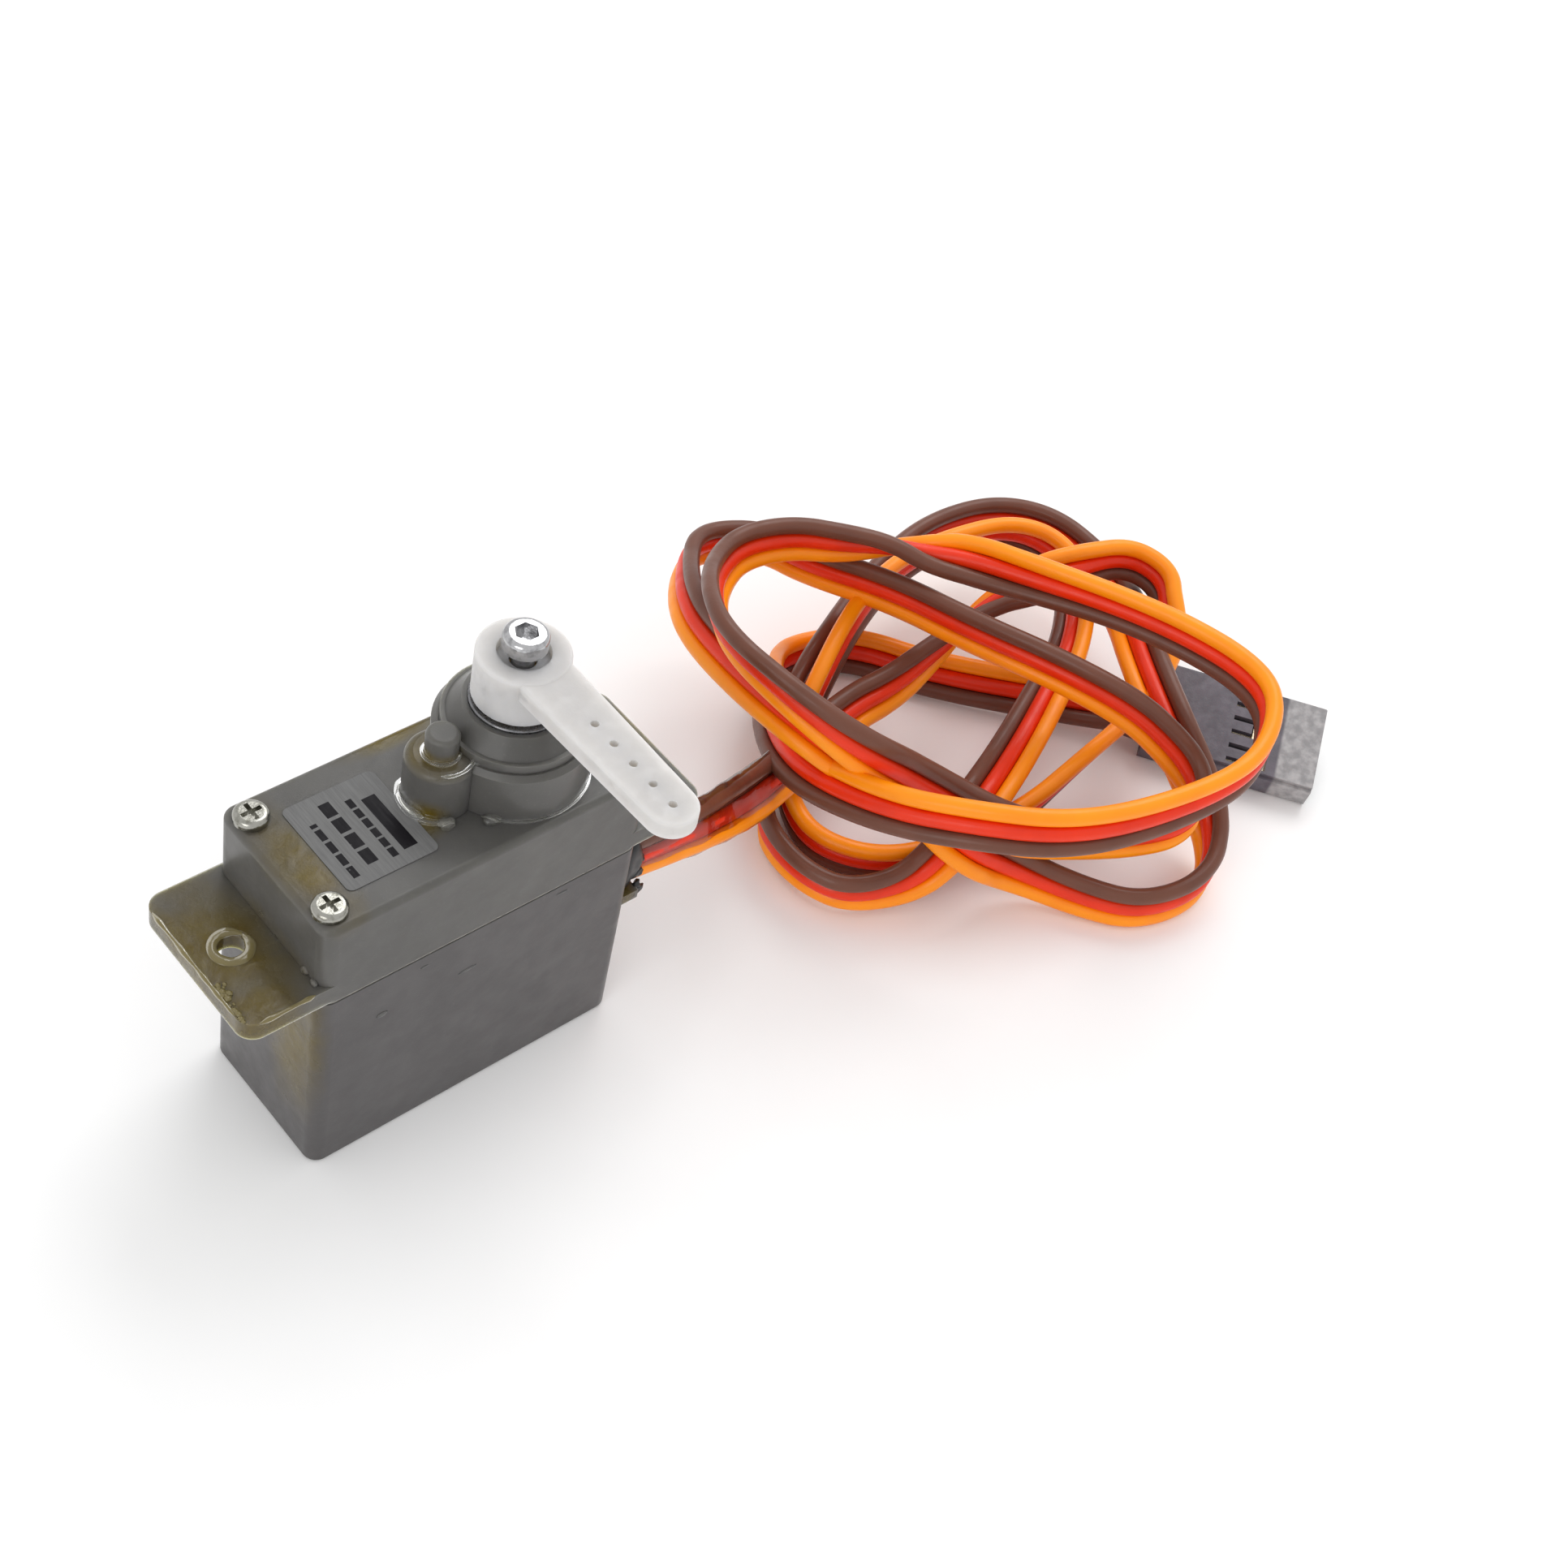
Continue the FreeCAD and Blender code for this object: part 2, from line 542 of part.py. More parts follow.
def gear_train():
    """Four stages down from the motor. Returns the output gear's lower and upper face."""
    running = dim("gear_clearance")
    wheel = dim("wheel_thickness")
    motor_x, pin_x, output_x = dim("motor_x"), dim("pin_x"), dim("output_x")
    fine, coarse = dim("fine_module"), dim("coarse_module")
    pin_bore, stem_bore = dim("pin_radius") + running, dim("stem_radius") + running
    pinion = PINION_TEETH
    overlap = dim("pinion_height") - running  # a pinion's teeth above its own wheel

    level_1 = dim("plate_bottom") + dim("plate_thickness") + 0.2
    gear("motor_pinion", motor_x, dim("motor_shaft_radius"),
         [(fine, pinion, level_1 - running, wheel + 0.55, 0.0)])

    turn_1 = meshing_phase(pinion, 0.0, 0.0, WHEEL_1_TEETH)
    gear("gear_1", pin_x, pin_bore,
         [(fine, WHEEL_1_TEETH, level_1, wheel, turn_1), (fine, pinion, level_1 + wheel, overlap, turn_1)])

    turn_2 = meshing_phase(pinion, turn_1, 0.0, WHEEL_2_TEETH)
    level_2 = level_1 + wheel + 0.4
    gear("gear_2", output_x, stem_bore,
         [(fine, WHEEL_2_TEETH, level_2, wheel, turn_2), (fine, pinion, level_2 + wheel, overlap, turn_2)])

    turn_3 = meshing_phase(pinion, turn_2, 180.0, WHEEL_3_TEETH)
    level_3 = level_2 + wheel + 0.45
    face = dim("output_gear_thickness")
    gear("gear_3", pin_x, pin_bore,
         [(fine, WHEEL_3_TEETH, level_3, wheel, turn_3),
          (coarse, pinion, level_3 + wheel, face + 0.45, turn_3)])

    turn_4 = meshing_phase(pinion, turn_3, 0.0, OUTPUT_TEETH)
    level_4 = level_3 + wheel + 0.4
    gear("output_gear", output_x, dim("gear_hub_radius"), [(coarse, OUTPUT_TEETH, level_4, face, turn_4)])

    keep(rod("gear_pin", "pin_radius", "plate_bottom", "boss_height - 0.9", "pin_x"), "gear_pin")
    return level_4, level_4 + face


def output_shaft(gear_bottom, gear_top):
    body = new_body("output_shaft")
    add_rod(body, "stem", "stem_radius", "12.3", f"{gear_bottom}", "output_x")
    add_rod(body, "gear_hub", "gear_hub_radius", f"{gear_bottom}", f"{gear_top}", "output_x")
    add_rod(body, "journal", "journal_radius", f"{gear_top}", "horn_bottom", "output_x")
    add_rod(body, "spline_blank", "spline_radius", "horn_bottom", "spline_top", "output_x")
    add_rod(body, "screw_bore", "horn_screw_radius + 0.03", "26.5", "spline_top + 1", "output_x", hole=True)
    groove = add_rod(body, "spline_groove", "0.14", "horn_bottom", "spline_top + 1",
                     "output_x + spline_radius + 0.02", hole=True)
    axis = body.newObject("PartDesign::Line", "output_axis")
    axis.AttachmentSupport = (floor_plane(body), "")
    axis.MapMode = "ObjectZ"
    bind(axis, dx="output_x")
    doc.recompute()
    teeth = body.newObject("PartDesign::PolarPattern", "spline_teeth")
    teeth.Originals = [groove]
    teeth.Axis = (axis, [""])
    teeth.Angle = 360
    teeth.Occurrences = 21
    body.Tip = teeth


def output_bearing():
    disc = rod("bearing_ring", "bearing_radius", "bearing_bottom", "bearing_top", "output_x")
    ring = rounded("bearing_rounded", disc, 0.12, level_at(dim("bearing_top")))
    bore = rod("bearing_bore", "journal_radius + gear_clearance",
               "bearing_bottom - 1", "bearing_top + 1", "output_x")
    keep(cut("output_bearing", ring, bore), "output_bearing")


# --- Horn -------------------------------------------------------------------------

def horn():
    body = new_body("horn")
    sketch = body.newObject("Sketcher::SketchObject", "arm_outline")
    attach(sketch, body, dx="output_x", dz="horn_top - 0.05 - arm_thickness")
    root, tip, reach = 1.975, 1.65, 13.9
    points = [(-root, 0), (-tip, -reach), (tip, -reach), (root, 0)]
    line = lambda a, b: Part.LineSegment(Vector(*a, 0), Vector(*b, 0))
    arc = Part.ArcOfCircle(Part.Circle(Vector(0, -reach, 0), Vector(0, 0, 1), tip), math.pi, 2 * math.pi)
    sketch.addGeometry([line(points[3], points[0]), line(points[0], points[1]), arc,
                        line(points[2], points[3])], False)
    add = lambda *args: sketch.addConstraint(Sketcher.Constraint(*args))
    for first, end, second, start in ((0, 2, 1, 1), (1, 2, 2, 1), (2, 2, 3, 1), (3, 2, 0, 1)):
        add("Coincident", first, end, second, start)
    add("PointOnObject", 0, 1, -1)
    add("Symmetric", 0, 1, 0, 2, -2)
    add("Symmetric", 2, 1, 2, 2, -2)
    add("Horizontal", 2, 1, 2, 3)
    for kind, args, label, formula in (
        ("DistanceX", (0, 2, 0, 1, 2 * root), "root", "arm_root_width"),
        ("Radius", (2, tip), "tip", "arm_tip_radius"),
        ("DistanceY", (2, 3, -1, 1, reach), "reach", "arm_reach"),
    ):
        index = add(kind, *args)
        sketch.renameConstraint(index, label)
        bind(sketch, **{f"Constraints.{label}": formula})
    pad(body, "arm", sketch, "arm_thickness")
    body_fillet(body, "arm_edges", "0.22", lambda edge: abs(edge.BoundBox.ZLength) < 1e-6
                and edge.BoundBox.YMin < -0.1 and edge.BoundBox.ZMin > dim("horn_top") - 0.1)
    add_rod(body, "hub", "hub_radius", "horn_bottom", "horn_top", "output_x")
    body_fillet(body, "hub_rim", "0.2", ring_at(dim("horn_bottom"), dim("hub_radius")),
                ring_at(dim("horn_top"), dim("hub_radius")))
    add_rod(body, "spline_socket", "spline_radius + 0.05", "horn_bottom - 1", "horn_bottom + 2.3",
            "output_x", hole=True)
    add_rod(body, "horn_screw_hole", "horn_screw_radius + 0.13", "horn_bottom", "horn_top + 1", "output_x",
            hole=True)
    add_rod(body, "counterbore", "horn_screw_head + 0.25", "horn_top - 0.7", "horn_top + 1", "output_x",
            hole=True)
    hole = add_rod(body, "rod_hole", "arm_hole_radius", "horn_bottom", "horn_top + 1", "output_x",
                   "-arm_hole_first", hole=True)
    doc.recompute()
    row = body.newObject("PartDesign::LinearPattern", "rod_holes")
    row.Originals = [hole]
    row.Direction = (next(f for f in body.Origin.OriginFeatures if f.Role == "Y_Axis"), [""])
    row.Reversed = True
    row.Occurrences = 5
    bind(row, Length="4 * arm_hole_pitch")
    body.Tip = row


def horn_screw():
    head = rounded("screw_head_rounded", rod("screw_head", "horn_screw_head", "horn_screw_head_bottom",
                                             "horn_screw_top", "output_x"), 0.38,
                   level_at(dim("horn_screw_top")))
    thread = rod("screw_thread", "horn_screw_radius", "27.4", "horn_screw_head_bottom + 0.1", "output_x")
    key = doc.addObject("Part::Prism", "hex_key_hole")
    key.Polygon = 6
    bind(key, Circumradius="0.78", Height="1", x="output_x", z="horn_screw_top - 0.65")
    keep(cut("horn_screw", fuse("screw_blank", head, thread), key), "horn_screw")


# --- Lead and connector -----------------------------------------------------------

def grommet():
    body = block("grommet_blank", "grommet_front - case_length / 2 + 1.2", "grommet_width",
                 "grommet_height", "(grommet_front + case_length / 2 - 1.2) / 2", "cable_y",
                 "cable_z - grommet_height / 2")
    along_x = lambda edge: edge.BoundBox.XLength > 0.5
    keep(rounded("cable_grommet", body, 0.3, along_x), "cable_grommet")


def tube(name, points, radius):
    """A tube along straight runs that are joined by the largest even arcs."""
    points = [Vector(*p) for p in points]
    edges = []
    start = points[0]
    for before, corner, after in zip(points, points[1:], points[2:]):
        arriving = (corner - before).normalize()
        leaving = (after - corner).normalize()
        half_turn = arriving.getAngle(leaving) / 2
        shorter = min(before.distanceToPoint(corner), corner.distanceToPoint(after))
        bend = 0.45 * shorter / math.tan(half_turn)
        print(f"{name}: bend radius {bend:.1f} mm, turn {math.degrees(2 * half_turn):.0f} degrees")
        reach = 0.45 * shorter
        inward = (leaving - arriving).normalize()
        middle = corner + inward * (bend / math.cos(half_turn) - bend)
        edges.append(Part.LineSegment(start, corner - arriving * reach).toShape())
        edges.append(Part.Arc(corner - arriving * reach, middle, corner + leaving * reach).toShape())
        start = corner + leaving * reach
    edges.append(Part.LineSegment(start, points[-1]).toShape())
    path = Part.Wire(edges)
    section = Part.Wire([Part.makeCircle(radius, points[0], (points[1] - points[0]).normalize())])
    solid = path.makePipeShell([section], True, False)
    expected = math.pi * radius**2 * path.Length
    print(f"{name}: length {path.Length:.1f} mm, volume {solid.Volume:.2f}, section x length {expected:.2f}")
    obj = doc.addObject("Part::Feature", name)
    obj.Shape = solid
    return keep(obj, name)


def plug_placement():
    """The connector lies on one long edge, tipped up on its far side."""
    turn = Rotation(Vector(0, 0, 1), -53.6).multiply(Rotation(Vector(1, 0, 0), 17.0))
    drop = turn.multVec(Vector(0, -dim("plug_width") / 2, -dim("plug_thickness"))).z
    return Placement(Vector(68.9, -13.3, -drop), turn)


def plug_block(name, length, width, bottom, top, x="0", y="0"):
    """A box in the connector's own frame: top face at z = 0, mating end at +X."""
    return block(name, length, width, f"{top} - ({bottom})", x, y, bottom)


def place_on_plug(name, shape):
    """The finished connector piece, moved from the connector's frame to where it lies."""
    doc.recompute()
    obj = doc.addObject("Part::Feature", name)
    obj.Shape = shape.Shape.copy()
    obj.Placement = plug_placement()
    return keep(obj, name)


def connector():
    outside = rounded("plug_rounded", plug_block("plug_blank", "plug_length", "plug_width",
                                                 "-plug_thickness", "0"), 0.3,
                      lambda edge: edge.BoundBox.XLength > 5)
    polarity = [plug_block(f"plug_groove_{k}", "plug_length - 5", "0.35", "-0.35", "0.5", "3", y)
                for k, y in enumerate(("-plug_width / 2 + 0.1", "plug_width / 2 - 0.1"))]
    tools = list(polarity)
    contacts = []
    for k, y in enumerate(("-plug_pitch", "0", "plug_pitch")):
        tools.append(plug_block(f"cavity_{k}", "plug_length + 2", "2.0", "-plug_thickness / 2 - 0.8",
                                "-plug_thickness / 2 + 0.8", "-1.6", y))
        tools.append(plug_block(f"pin_entry_{k}", "4", "0.9", "-plug_thickness / 2 - 0.45",
                                "-plug_thickness / 2 + 0.45", "plug_length / 2", y))
        tools.append(plug_block(f"latch_window_{k}", "latch_window", "latch_width + latch_slit",
                                "-1", "0.5", "latch_end + latch_window / 2", y))
        for side in (-1, 1):
            tools.append(plug_block(f"latch_slit_{k}_{side + 1}", "latch_length + 0.1", "latch_slit",
                                    "-1", "0.5", "latch_end - latch_length / 2 + 0.05",
                                    f"{y} + {side} * latch_width / 2"))
        shell = plug_block(f"contact_box_{k}", "3.4", "1.7", "-plug_thickness / 2 - 0.7",
                           "-plug_thickness / 2 + 0.7", "3.2", y)
        neck = plug_block(f"contact_neck_{k}", "2.3", "0.8", "-plug_thickness / 2 - 0.6",
                          "-plug_thickness / 2 - 0.2", "0.5", y)
        crimp = plug_block(f"contact_crimp_{k}", "4.2", "1.3", "-plug_thickness / 2 - 0.6",
                           "-plug_thickness / 2 + 0.5", "-2.5", y)
        slot = plug_block(f"contact_slot_{k}", "3.6", "0.8", "-plug_thickness / 2 - 0.4",
                          "-plug_thickness / 2 + 0.4", "3.7", y)
        blank = fuse(f"contact_blank_{k}", shell, neck, crimp)
        contacts.append(cut(f"contact_{k}", blank, slot))
    place_on_plug("connector_housing", cut("plug_shape", outside, *tools))
    place_on_plug("connector_contacts", fuse("contact_set", *contacts))


def coil():
    """The outer shape of the loose loops, with the space that the connector lies in."""
    left, height = dim("coil_left"), dim("coil_height")
    rim = [(26, 0), (31, 15), (41, 21.5), (54, 22), (67, 17), (72, 6), (70, -10), (63, -21),
           (51, -25), (38, -21), (29, -11)]
    outline = Part.BSplineCurve()
    outline.interpolate([Vector(x, y, 0) for x, y in rim], PeriodicFlag=True)
    body = Part.Face(Part.Wire([outline.toShape()])).extrude(Vector(0, 0, height))
    body = body.makeFillet(4.0, [edge for edge in body.Edges if level_at(height)(edge)])
    body = body.cut(Part.makeBox(20, 80, 40, Vector(left - 20, -40, -10)))
    gap = 0.4
    room = Part.makeBox(40, dim("plug_width") + 2 * gap, 14,
                        Vector(-dim("plug_length") / 2, -dim("plug_width") / 2 - gap, gap - 14))
    room.Placement = plug_placement()
    obj = doc.addObject("Part::Feature", "cable_coil")
    obj.Shape = body.cut(room)
    keep(obj, "cable_coil")


def lead():
    route = [(dim("grommet_front"), dim("cable_y"), dim("cable_z")), (17.5, -4, 12.5),
             (24, -2.5, 10), (dim("coil_left"), -1, 7.8)]
    tube("cable_lead", route, dim("cable_radius"))


lower_case()
upper_case()
gear_plate()
case_label()
case_screws()
motor()
potentiometer()
circuit()
output_shaft(*gear_train())
output_bearing()
horn()
horn_screw()
grommet()
lead()
connector()
coil()
doc.recompute()

for obj in doc.Objects:
    if {"Invalid", "Error"} & set(obj.State):
        raise SystemExit(f"{obj.Name} failed: {obj.State}")
os.makedirs("parts", exist_ok=True)
for node in nodes:
    shape = node.Shape
    if shape.isNull() or not shape.isValid():
        raise SystemExit(f"{node.Label} has no valid shape")
    print(f"{node.Label}: {len(shape.Solids)} solid, {shape.Volume:.2f} mm3")
    shape.exportStep(f"parts/{node.Label}.step")
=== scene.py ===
# Looks of the servo motor, in metres, in the CAD model's frame.
import math
import random

import bmesh
import bpy
import numpy as np
from mathutils import Matrix, Vector, noise


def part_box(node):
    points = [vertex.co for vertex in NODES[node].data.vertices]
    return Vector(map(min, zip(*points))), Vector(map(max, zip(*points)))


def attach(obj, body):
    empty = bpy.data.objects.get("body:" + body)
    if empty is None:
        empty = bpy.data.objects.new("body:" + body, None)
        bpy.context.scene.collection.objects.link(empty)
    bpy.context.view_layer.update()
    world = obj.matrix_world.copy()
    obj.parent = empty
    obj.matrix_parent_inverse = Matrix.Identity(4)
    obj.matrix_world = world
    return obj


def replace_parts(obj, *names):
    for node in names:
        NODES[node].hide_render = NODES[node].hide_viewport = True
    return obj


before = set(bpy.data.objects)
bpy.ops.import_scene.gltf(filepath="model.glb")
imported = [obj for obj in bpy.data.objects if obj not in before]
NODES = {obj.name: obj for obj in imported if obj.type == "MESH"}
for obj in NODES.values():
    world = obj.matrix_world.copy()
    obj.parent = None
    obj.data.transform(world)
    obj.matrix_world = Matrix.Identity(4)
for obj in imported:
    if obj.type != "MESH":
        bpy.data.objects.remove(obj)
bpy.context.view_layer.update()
MM = 0.001

# Flat three-wire lead
WIRE_RADIUS = 0.64 * MM
WIRE_PITCH = 1.27 * MM
WIRE_SIDES = 14
CONTACT_PITCH = 2.54 * MM
FAN_OUT = 5 * MM          # the wires spread to the contact pitch over the last stretch
ROUTE_STEPS = 12          # points on the smooth line for each span of the route
TURN_WINDOW = 17          # points over which the ribbon's turn is evened out

# Clear glue on the lead: where it starts and ends, as length run, and its fading end
SLEEVE_START = 0.4 * MM
SLEEVE_END = 23 * MM
SLEEVE_FADE = 4 * MM

# The connector lies on the table, turned this way; its mating end is rubbed pale
PLUG_TURN = math.radians(-53.6)
PALE_END = 3.6 * MM       # from the connector's middle
PALE_FADE = 0.3 * MM

# Camera, at the photograph's viewing angle
CAMERA_ANGLES = (-51.594, 46.479, 14.9)         # azimuth, elevation and roll in degrees
CAMERA_PLACE = (-63.358, -75.495, 133.487)      # millimetres
FOCAL_LENGTH = 55.727     # millimetres, as is the sensor
SENSOR_WIDTH = 36
NEAREST_SEEN = 0.005

# Soft studio light
FLOOR_HALF = 1.5
WORLD_STRENGTH = 0.9
LIGHT_AIM = (0.03, 0, 0.01)
LIGHTS = [
    # name, place, disc size, power in watts
    ("key", (0.25, 0.12, 0.35), 0.3, 0.6),
    ("fill", (-0.4, -0.16, 0.26), 0.3, 0.45),
]

# Colours of the case, and of what soils it
LOWER_GREY = (0.080, 0.075, 0.075)
# The upper shell's grey is a lighter copy of the lower shell's grey. This is painted light that
# lifts its shaded faces, such as the step front and the boss side.
UPPER_GREY_PAINTED_LIGHTER = (0.100, 0.097, 0.091)
OLIVE = ((0.085, 0.052, 0.0), (0.130, 0.098, 0.010))
DIRT = (0.02, 0.018, 0.015)

# Places on the case
SEAM = 16.75 * MM         # middle of the dirt line between the shells
SEAM_HALF = 0.09 * MM
TAB_TOP = 18.4 * MM
TAB_END = -17.02 * MM
TAB_SIDE = -5.62 * MM
BOSS = (-0.4 * MM, 0.0)
TOWER = (5.0 * MM, 0.0)
TAB_HOLE = (-14.55 * MM, 0.0)

# Yellow-green stains: centre and radii in millimetres
LOWER_STAINS = [
    ((-12.2, -3.0, 12.0), (1.6, 3.4, 9.0)),      # end wall under the tab
    ((-12.2, -4.2, 13.5), (1.4, 1.7, 6.5)),      # its near side
    ((12.0, -4.0, 12.0), (1.0, 3.0, 3.5)),       # where the lead leaves
]
UPPER_STAINS = [
    ((-10.1, -0.6, 23.5), (2.1, 6.6, 1.6)),      # strip between the screws and the label
    ((-15.0, 0.0, 17.8), (4.2, 8.5, 2.6)),       # the whole motor-end tab
    ((-15.6, -4.4, 18.0), (3.6, 3.4, 2.6)),      # its near corner
    ((-16.8, 1.5, 18.2), (1.6, 5.5, 1.8)),       # its outer edge
    ((-14.55, 0.0, 18.4), (1.6, 1.6, 1.2)),      # round the screw hole
    ((-0.8, 0.0, 27.3), (2.4, 2.4, 0.9)),        # top of the small boss
    ((-2.2, -1.6, 24.0), (1.5, 1.5, 1.2)),       # foot of the boss
    ((0.2, 5.2, 23.5), (4.5, 1.0, 0.8)),         # far rim of the top
    ((11.0, -3.6, 23.5), (1.2, 2.2, 0.9)),       # behind the tower
    ((16.0, 1.5, 18.2), (2.0, 3.0, 1.4)),        # the output-end tab
]

# Beads of clear glue round the boss, the tower's foot and the nub: centre, radius, height,
# first and last turn in degrees, points, thickness, seed, flatness; sizes in millimetres
GLUE_BEADS = [
    (BOSS, 2.3, 23.5, 110, 262, 48, 0.30, 1, 0.9),
    (BOSS, 2.35, 23.85, 150, 215, 48, 0.26, 2, 1.0),
    (TOWER, 5.05, 23.5, 214, 318, 90, 0.15, 3, 0.7),
    (BOSS, 1.12, 27.32, 100, 400, 60, 0.17, 5, 0.8),
    (BOSS, 2.0, 27.28, 235, 320, 48, 0.16, 6, 0.7),
]
# Drops of the same glue: centre and radii in millimetres, seed
GLUE_DROPS = [
    ((1.25, -1.75, 27.2), (0.55, 0.42, 0.26), 7),
    ((-1.35, -2.35, 23.7), (0.55, 0.5, 0.4), 8),
    ((1.35, -3.4, 23.6), (0.8, 0.5, 0.3), 9),
]
# Small burrs and pips of the mould: centre and radii in millimetres
MOULD_MARKS = [
    ((-1.2, -5.7, 13.0), (0.75, 0.06, 0.16)), ((-7.5, -5.7, 13.0), (0.42, 0.08, 0.22)),
    ((-4.6, -5.7, 15.7), (0.3, 0.04, 0.1)), ((-12.0, -3.9, 18.6), (0.22, 0.35, 0.3)),
    ((-12.05, -4.9, 18.5), (0.2, 0.3, 0.25)), ((5.8, -5.7, 16.0), (0.45, 0.05, 0.1)),
]
CRUMBS_ON_TAB = 26
CRUMBS_ON_TAB_END = 12
TORN_LUMPS = 9            # of the grommet

# Bars that stand for print, as shares of the label: middle and half height of a row, its
# first and last place across, and the length of a block, of which a part is ink
LABEL_BARS = [(0.78, 0.075, 0.14, 0.9, 0.76), (0.6, 0.035, 0.12, 0.84, 0.12),
              (0.38, 0.06, 0.16, 0.92, 0.19), (0.16, 0.035, 0.1, 0.74, 0.15)]
INK_PART = 0.82

# Route of the lead's middle wire: x, y, z in millimetres and the ribbon's turn about it in
# degrees. At 0 the orange edge is up, at 180 or -180 the brown edge, and at -90 the ribbon
# lies flat with orange on the left of the way it runs.
ROUTE = [
    # out of the case and down to the table side of the loops
    (12.4, -4.2, 13.6, -180), (17.5, -4, 12.5, -190), (24, -2.5, 10, -210), (30.5, 0, 6.5, -220),
    # up through the middle, with half a twist, into the small right-hand loop
    (40, 2.5, 6.5, -215), (45, 2.5, 6.5, -205), (50.5, 3.5, 7, -182), (55.5, 4, 8.5, -138),
    (58.5, 2.5, 11, -80), (62.5, 1.5, 11.5, -22), (67, 0.5, 11.5, 5), (68.4, -2.7, 11, 0),
    (66.8, -5, 9.8, -15), (65.6, -7, 8.6, -15), (63.2, -8.3, 7.5, -20),
    # back across the middle, under the outer loop
    (59.5, -9.5, 6.5, -20), (52.5, -10.5, 6, -20), (46, -11, 4, -10),
    # low loop at the near left
    (39, -9.5, 2.5, -10), (35, -7.5, 2, -10), (32.5, -4, 2, -10), (33, -0.5, 2, -10),
    (35, 3, 2.5, -5),
    # inner back loop
    (39, 5, 7, -10), (45.5, 8.5, 8.5, -10), (52, 11, 8, 0), (57.5, 11.5, 8, 20),
    (63.5, 10.5, 8, 25), (66, 7, 8, 0), (65.5, 3, 7, -30), (60.5, -1.5, 7, -45),
    # across the middle
    (54.5, -4.5, 6.5, -70), (48, -7.5, 6.5, -85), (41.5, -10, 6.5, -105),
    # outer low loop at the near left
    (38, -11, 4.5, -140), (35.5, -10.5, 2.5, -170), (31, -9, 2.5, -195), (29.5, -6, 2.5, -195),
    (29.5, -2.5, 2.5, -190), (31, 0.5, 2, -190),
    # outer back loop
    (37.5, 6.5, 5, -185), (47.5, 11, 6, -180), (54, 13.5, 6, -180), (60, 14.5, 6, -185),
    (66, 13.5, 6, -190), (69, 9.5, 6.5, -200), (69, 4, 6.5, -220), (66, -2, 8, -235),
    (62, -7.2, 9, -240), (59, -13.4, 8.5, -230), (59, -16.9, 6, -210),
    # low loop at the near right
    (58.8, -19.7, 3.5, -195), (56.7, -22, 2.5, -185), (53.3, -22.7, 2, -180),
    (49, -21.5, 2, -180), (46.5, -18.5, 2, -180), (43, -14, 3, -170), (38.5, -12.5, 6.5, -145),
    # up the left side
    (37, -8.5, 8.5, -140), (32.5, -5.5, 12.5, -160), (30, -3, 14.5, -160), (29, 3, 15, -155),
    (30, 9.5, 14, -155), (31.5, 13, 13.5, -160), (34.5, 16.5, 12, -165), (37, 18.5, 11.5, -175),
    (40, 18.5, 11, -180), (43, 16.5, 11, -180),
    # down the middle
    (44.5, 13.5, 10.5, -180), (47.5, 7, 11.5, -180), (49, 0, 12.5, -180),
    (51.5, -6.5, 13, -180), (54.5, -12, 12, -180), (55.8, -15.3, 10.5, -183),
    (56.4, -17.3, 9.2, -182), (56.1, -18.8, 8.4, -180),
    # back along the near side
    (55, -19.7, 7.7, -180), (53.4, -19.8, 7.1, -180), (51.7, -19.1, 6.6, -180),
    (49, -17.5, 6.1, -180), (44.5, -15, 6.5, -175), (39.5, -13.5, 9.5, -150),
    # second turn up the left side, with half a twist at its top
    (37, -9, 10.5, -160), (31, -6.5, 15.5, -180), (28.5, -1, 17.5, -190), (27.5, 4.5, 18.5, -200),
    (30, 9, 17.5, -205), (34, 12.5, 15.5, -205), (37.5, 14, 15, -195), (41.5, 13, 15, -185),
    (44.5, 10.5, 15, -175), (47.5, 8.5, 15, -140), (49.5, 6.5, 15, -95),
    # the large top loop
    (51.5, 4, 15.5, -50), (53.5, 0, 16, -15), (56.5, -5.5, 16.5, 0), (59, -10.5, 16.5, 0),
    (60.5, -16, 16.5, 0), (60, -19.5, 16, 0), (56.5, -22, 15, 0), (52, -22.5, 14.5, 0),
    (44.5, -21, 14, 10),
    (38.5, -19, 14.5, 15), (34.5, -15, 14, 15), (31.5, -10, 12.5, 15), (30, -4, 11, 25),
    (31.5, 1, 9, 35),
    # down to the table and along it into the connector
    (35.5, 6.5, 6.5, 20), (41, 11.5, 3, 0), (45, 12, 2, -10), (49, 10, 2, -20),
    (52, 5, 2, -30), (60, -3, 2, -45), (63, -6.5, 2.4, -70), (66, -8.8, 2.4, -73),
]


# --- Meshes -------------------------------------------------------------------------

def piece(name, verts, faces, materials, body="case", face_materials=None):
    """A smooth mesh piece that rides on a body."""
    mesh = bpy.data.meshes.new(name)
    mesh.from_pydata([tuple(v) for v in verts], [], faces)
    for mat in materials:
        mesh.materials.append(mat)
    mesh.polygons.foreach_set("use_smooth", [True] * len(mesh.polygons))
    if face_materials is not None:
        mesh.polygons.foreach_set("material_index", face_materials)
    mesh.update()
    obj = bpy.data.objects.new(name, mesh)
    bpy.context.scene.collection.objects.link(obj)
    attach(obj, body)
    return obj


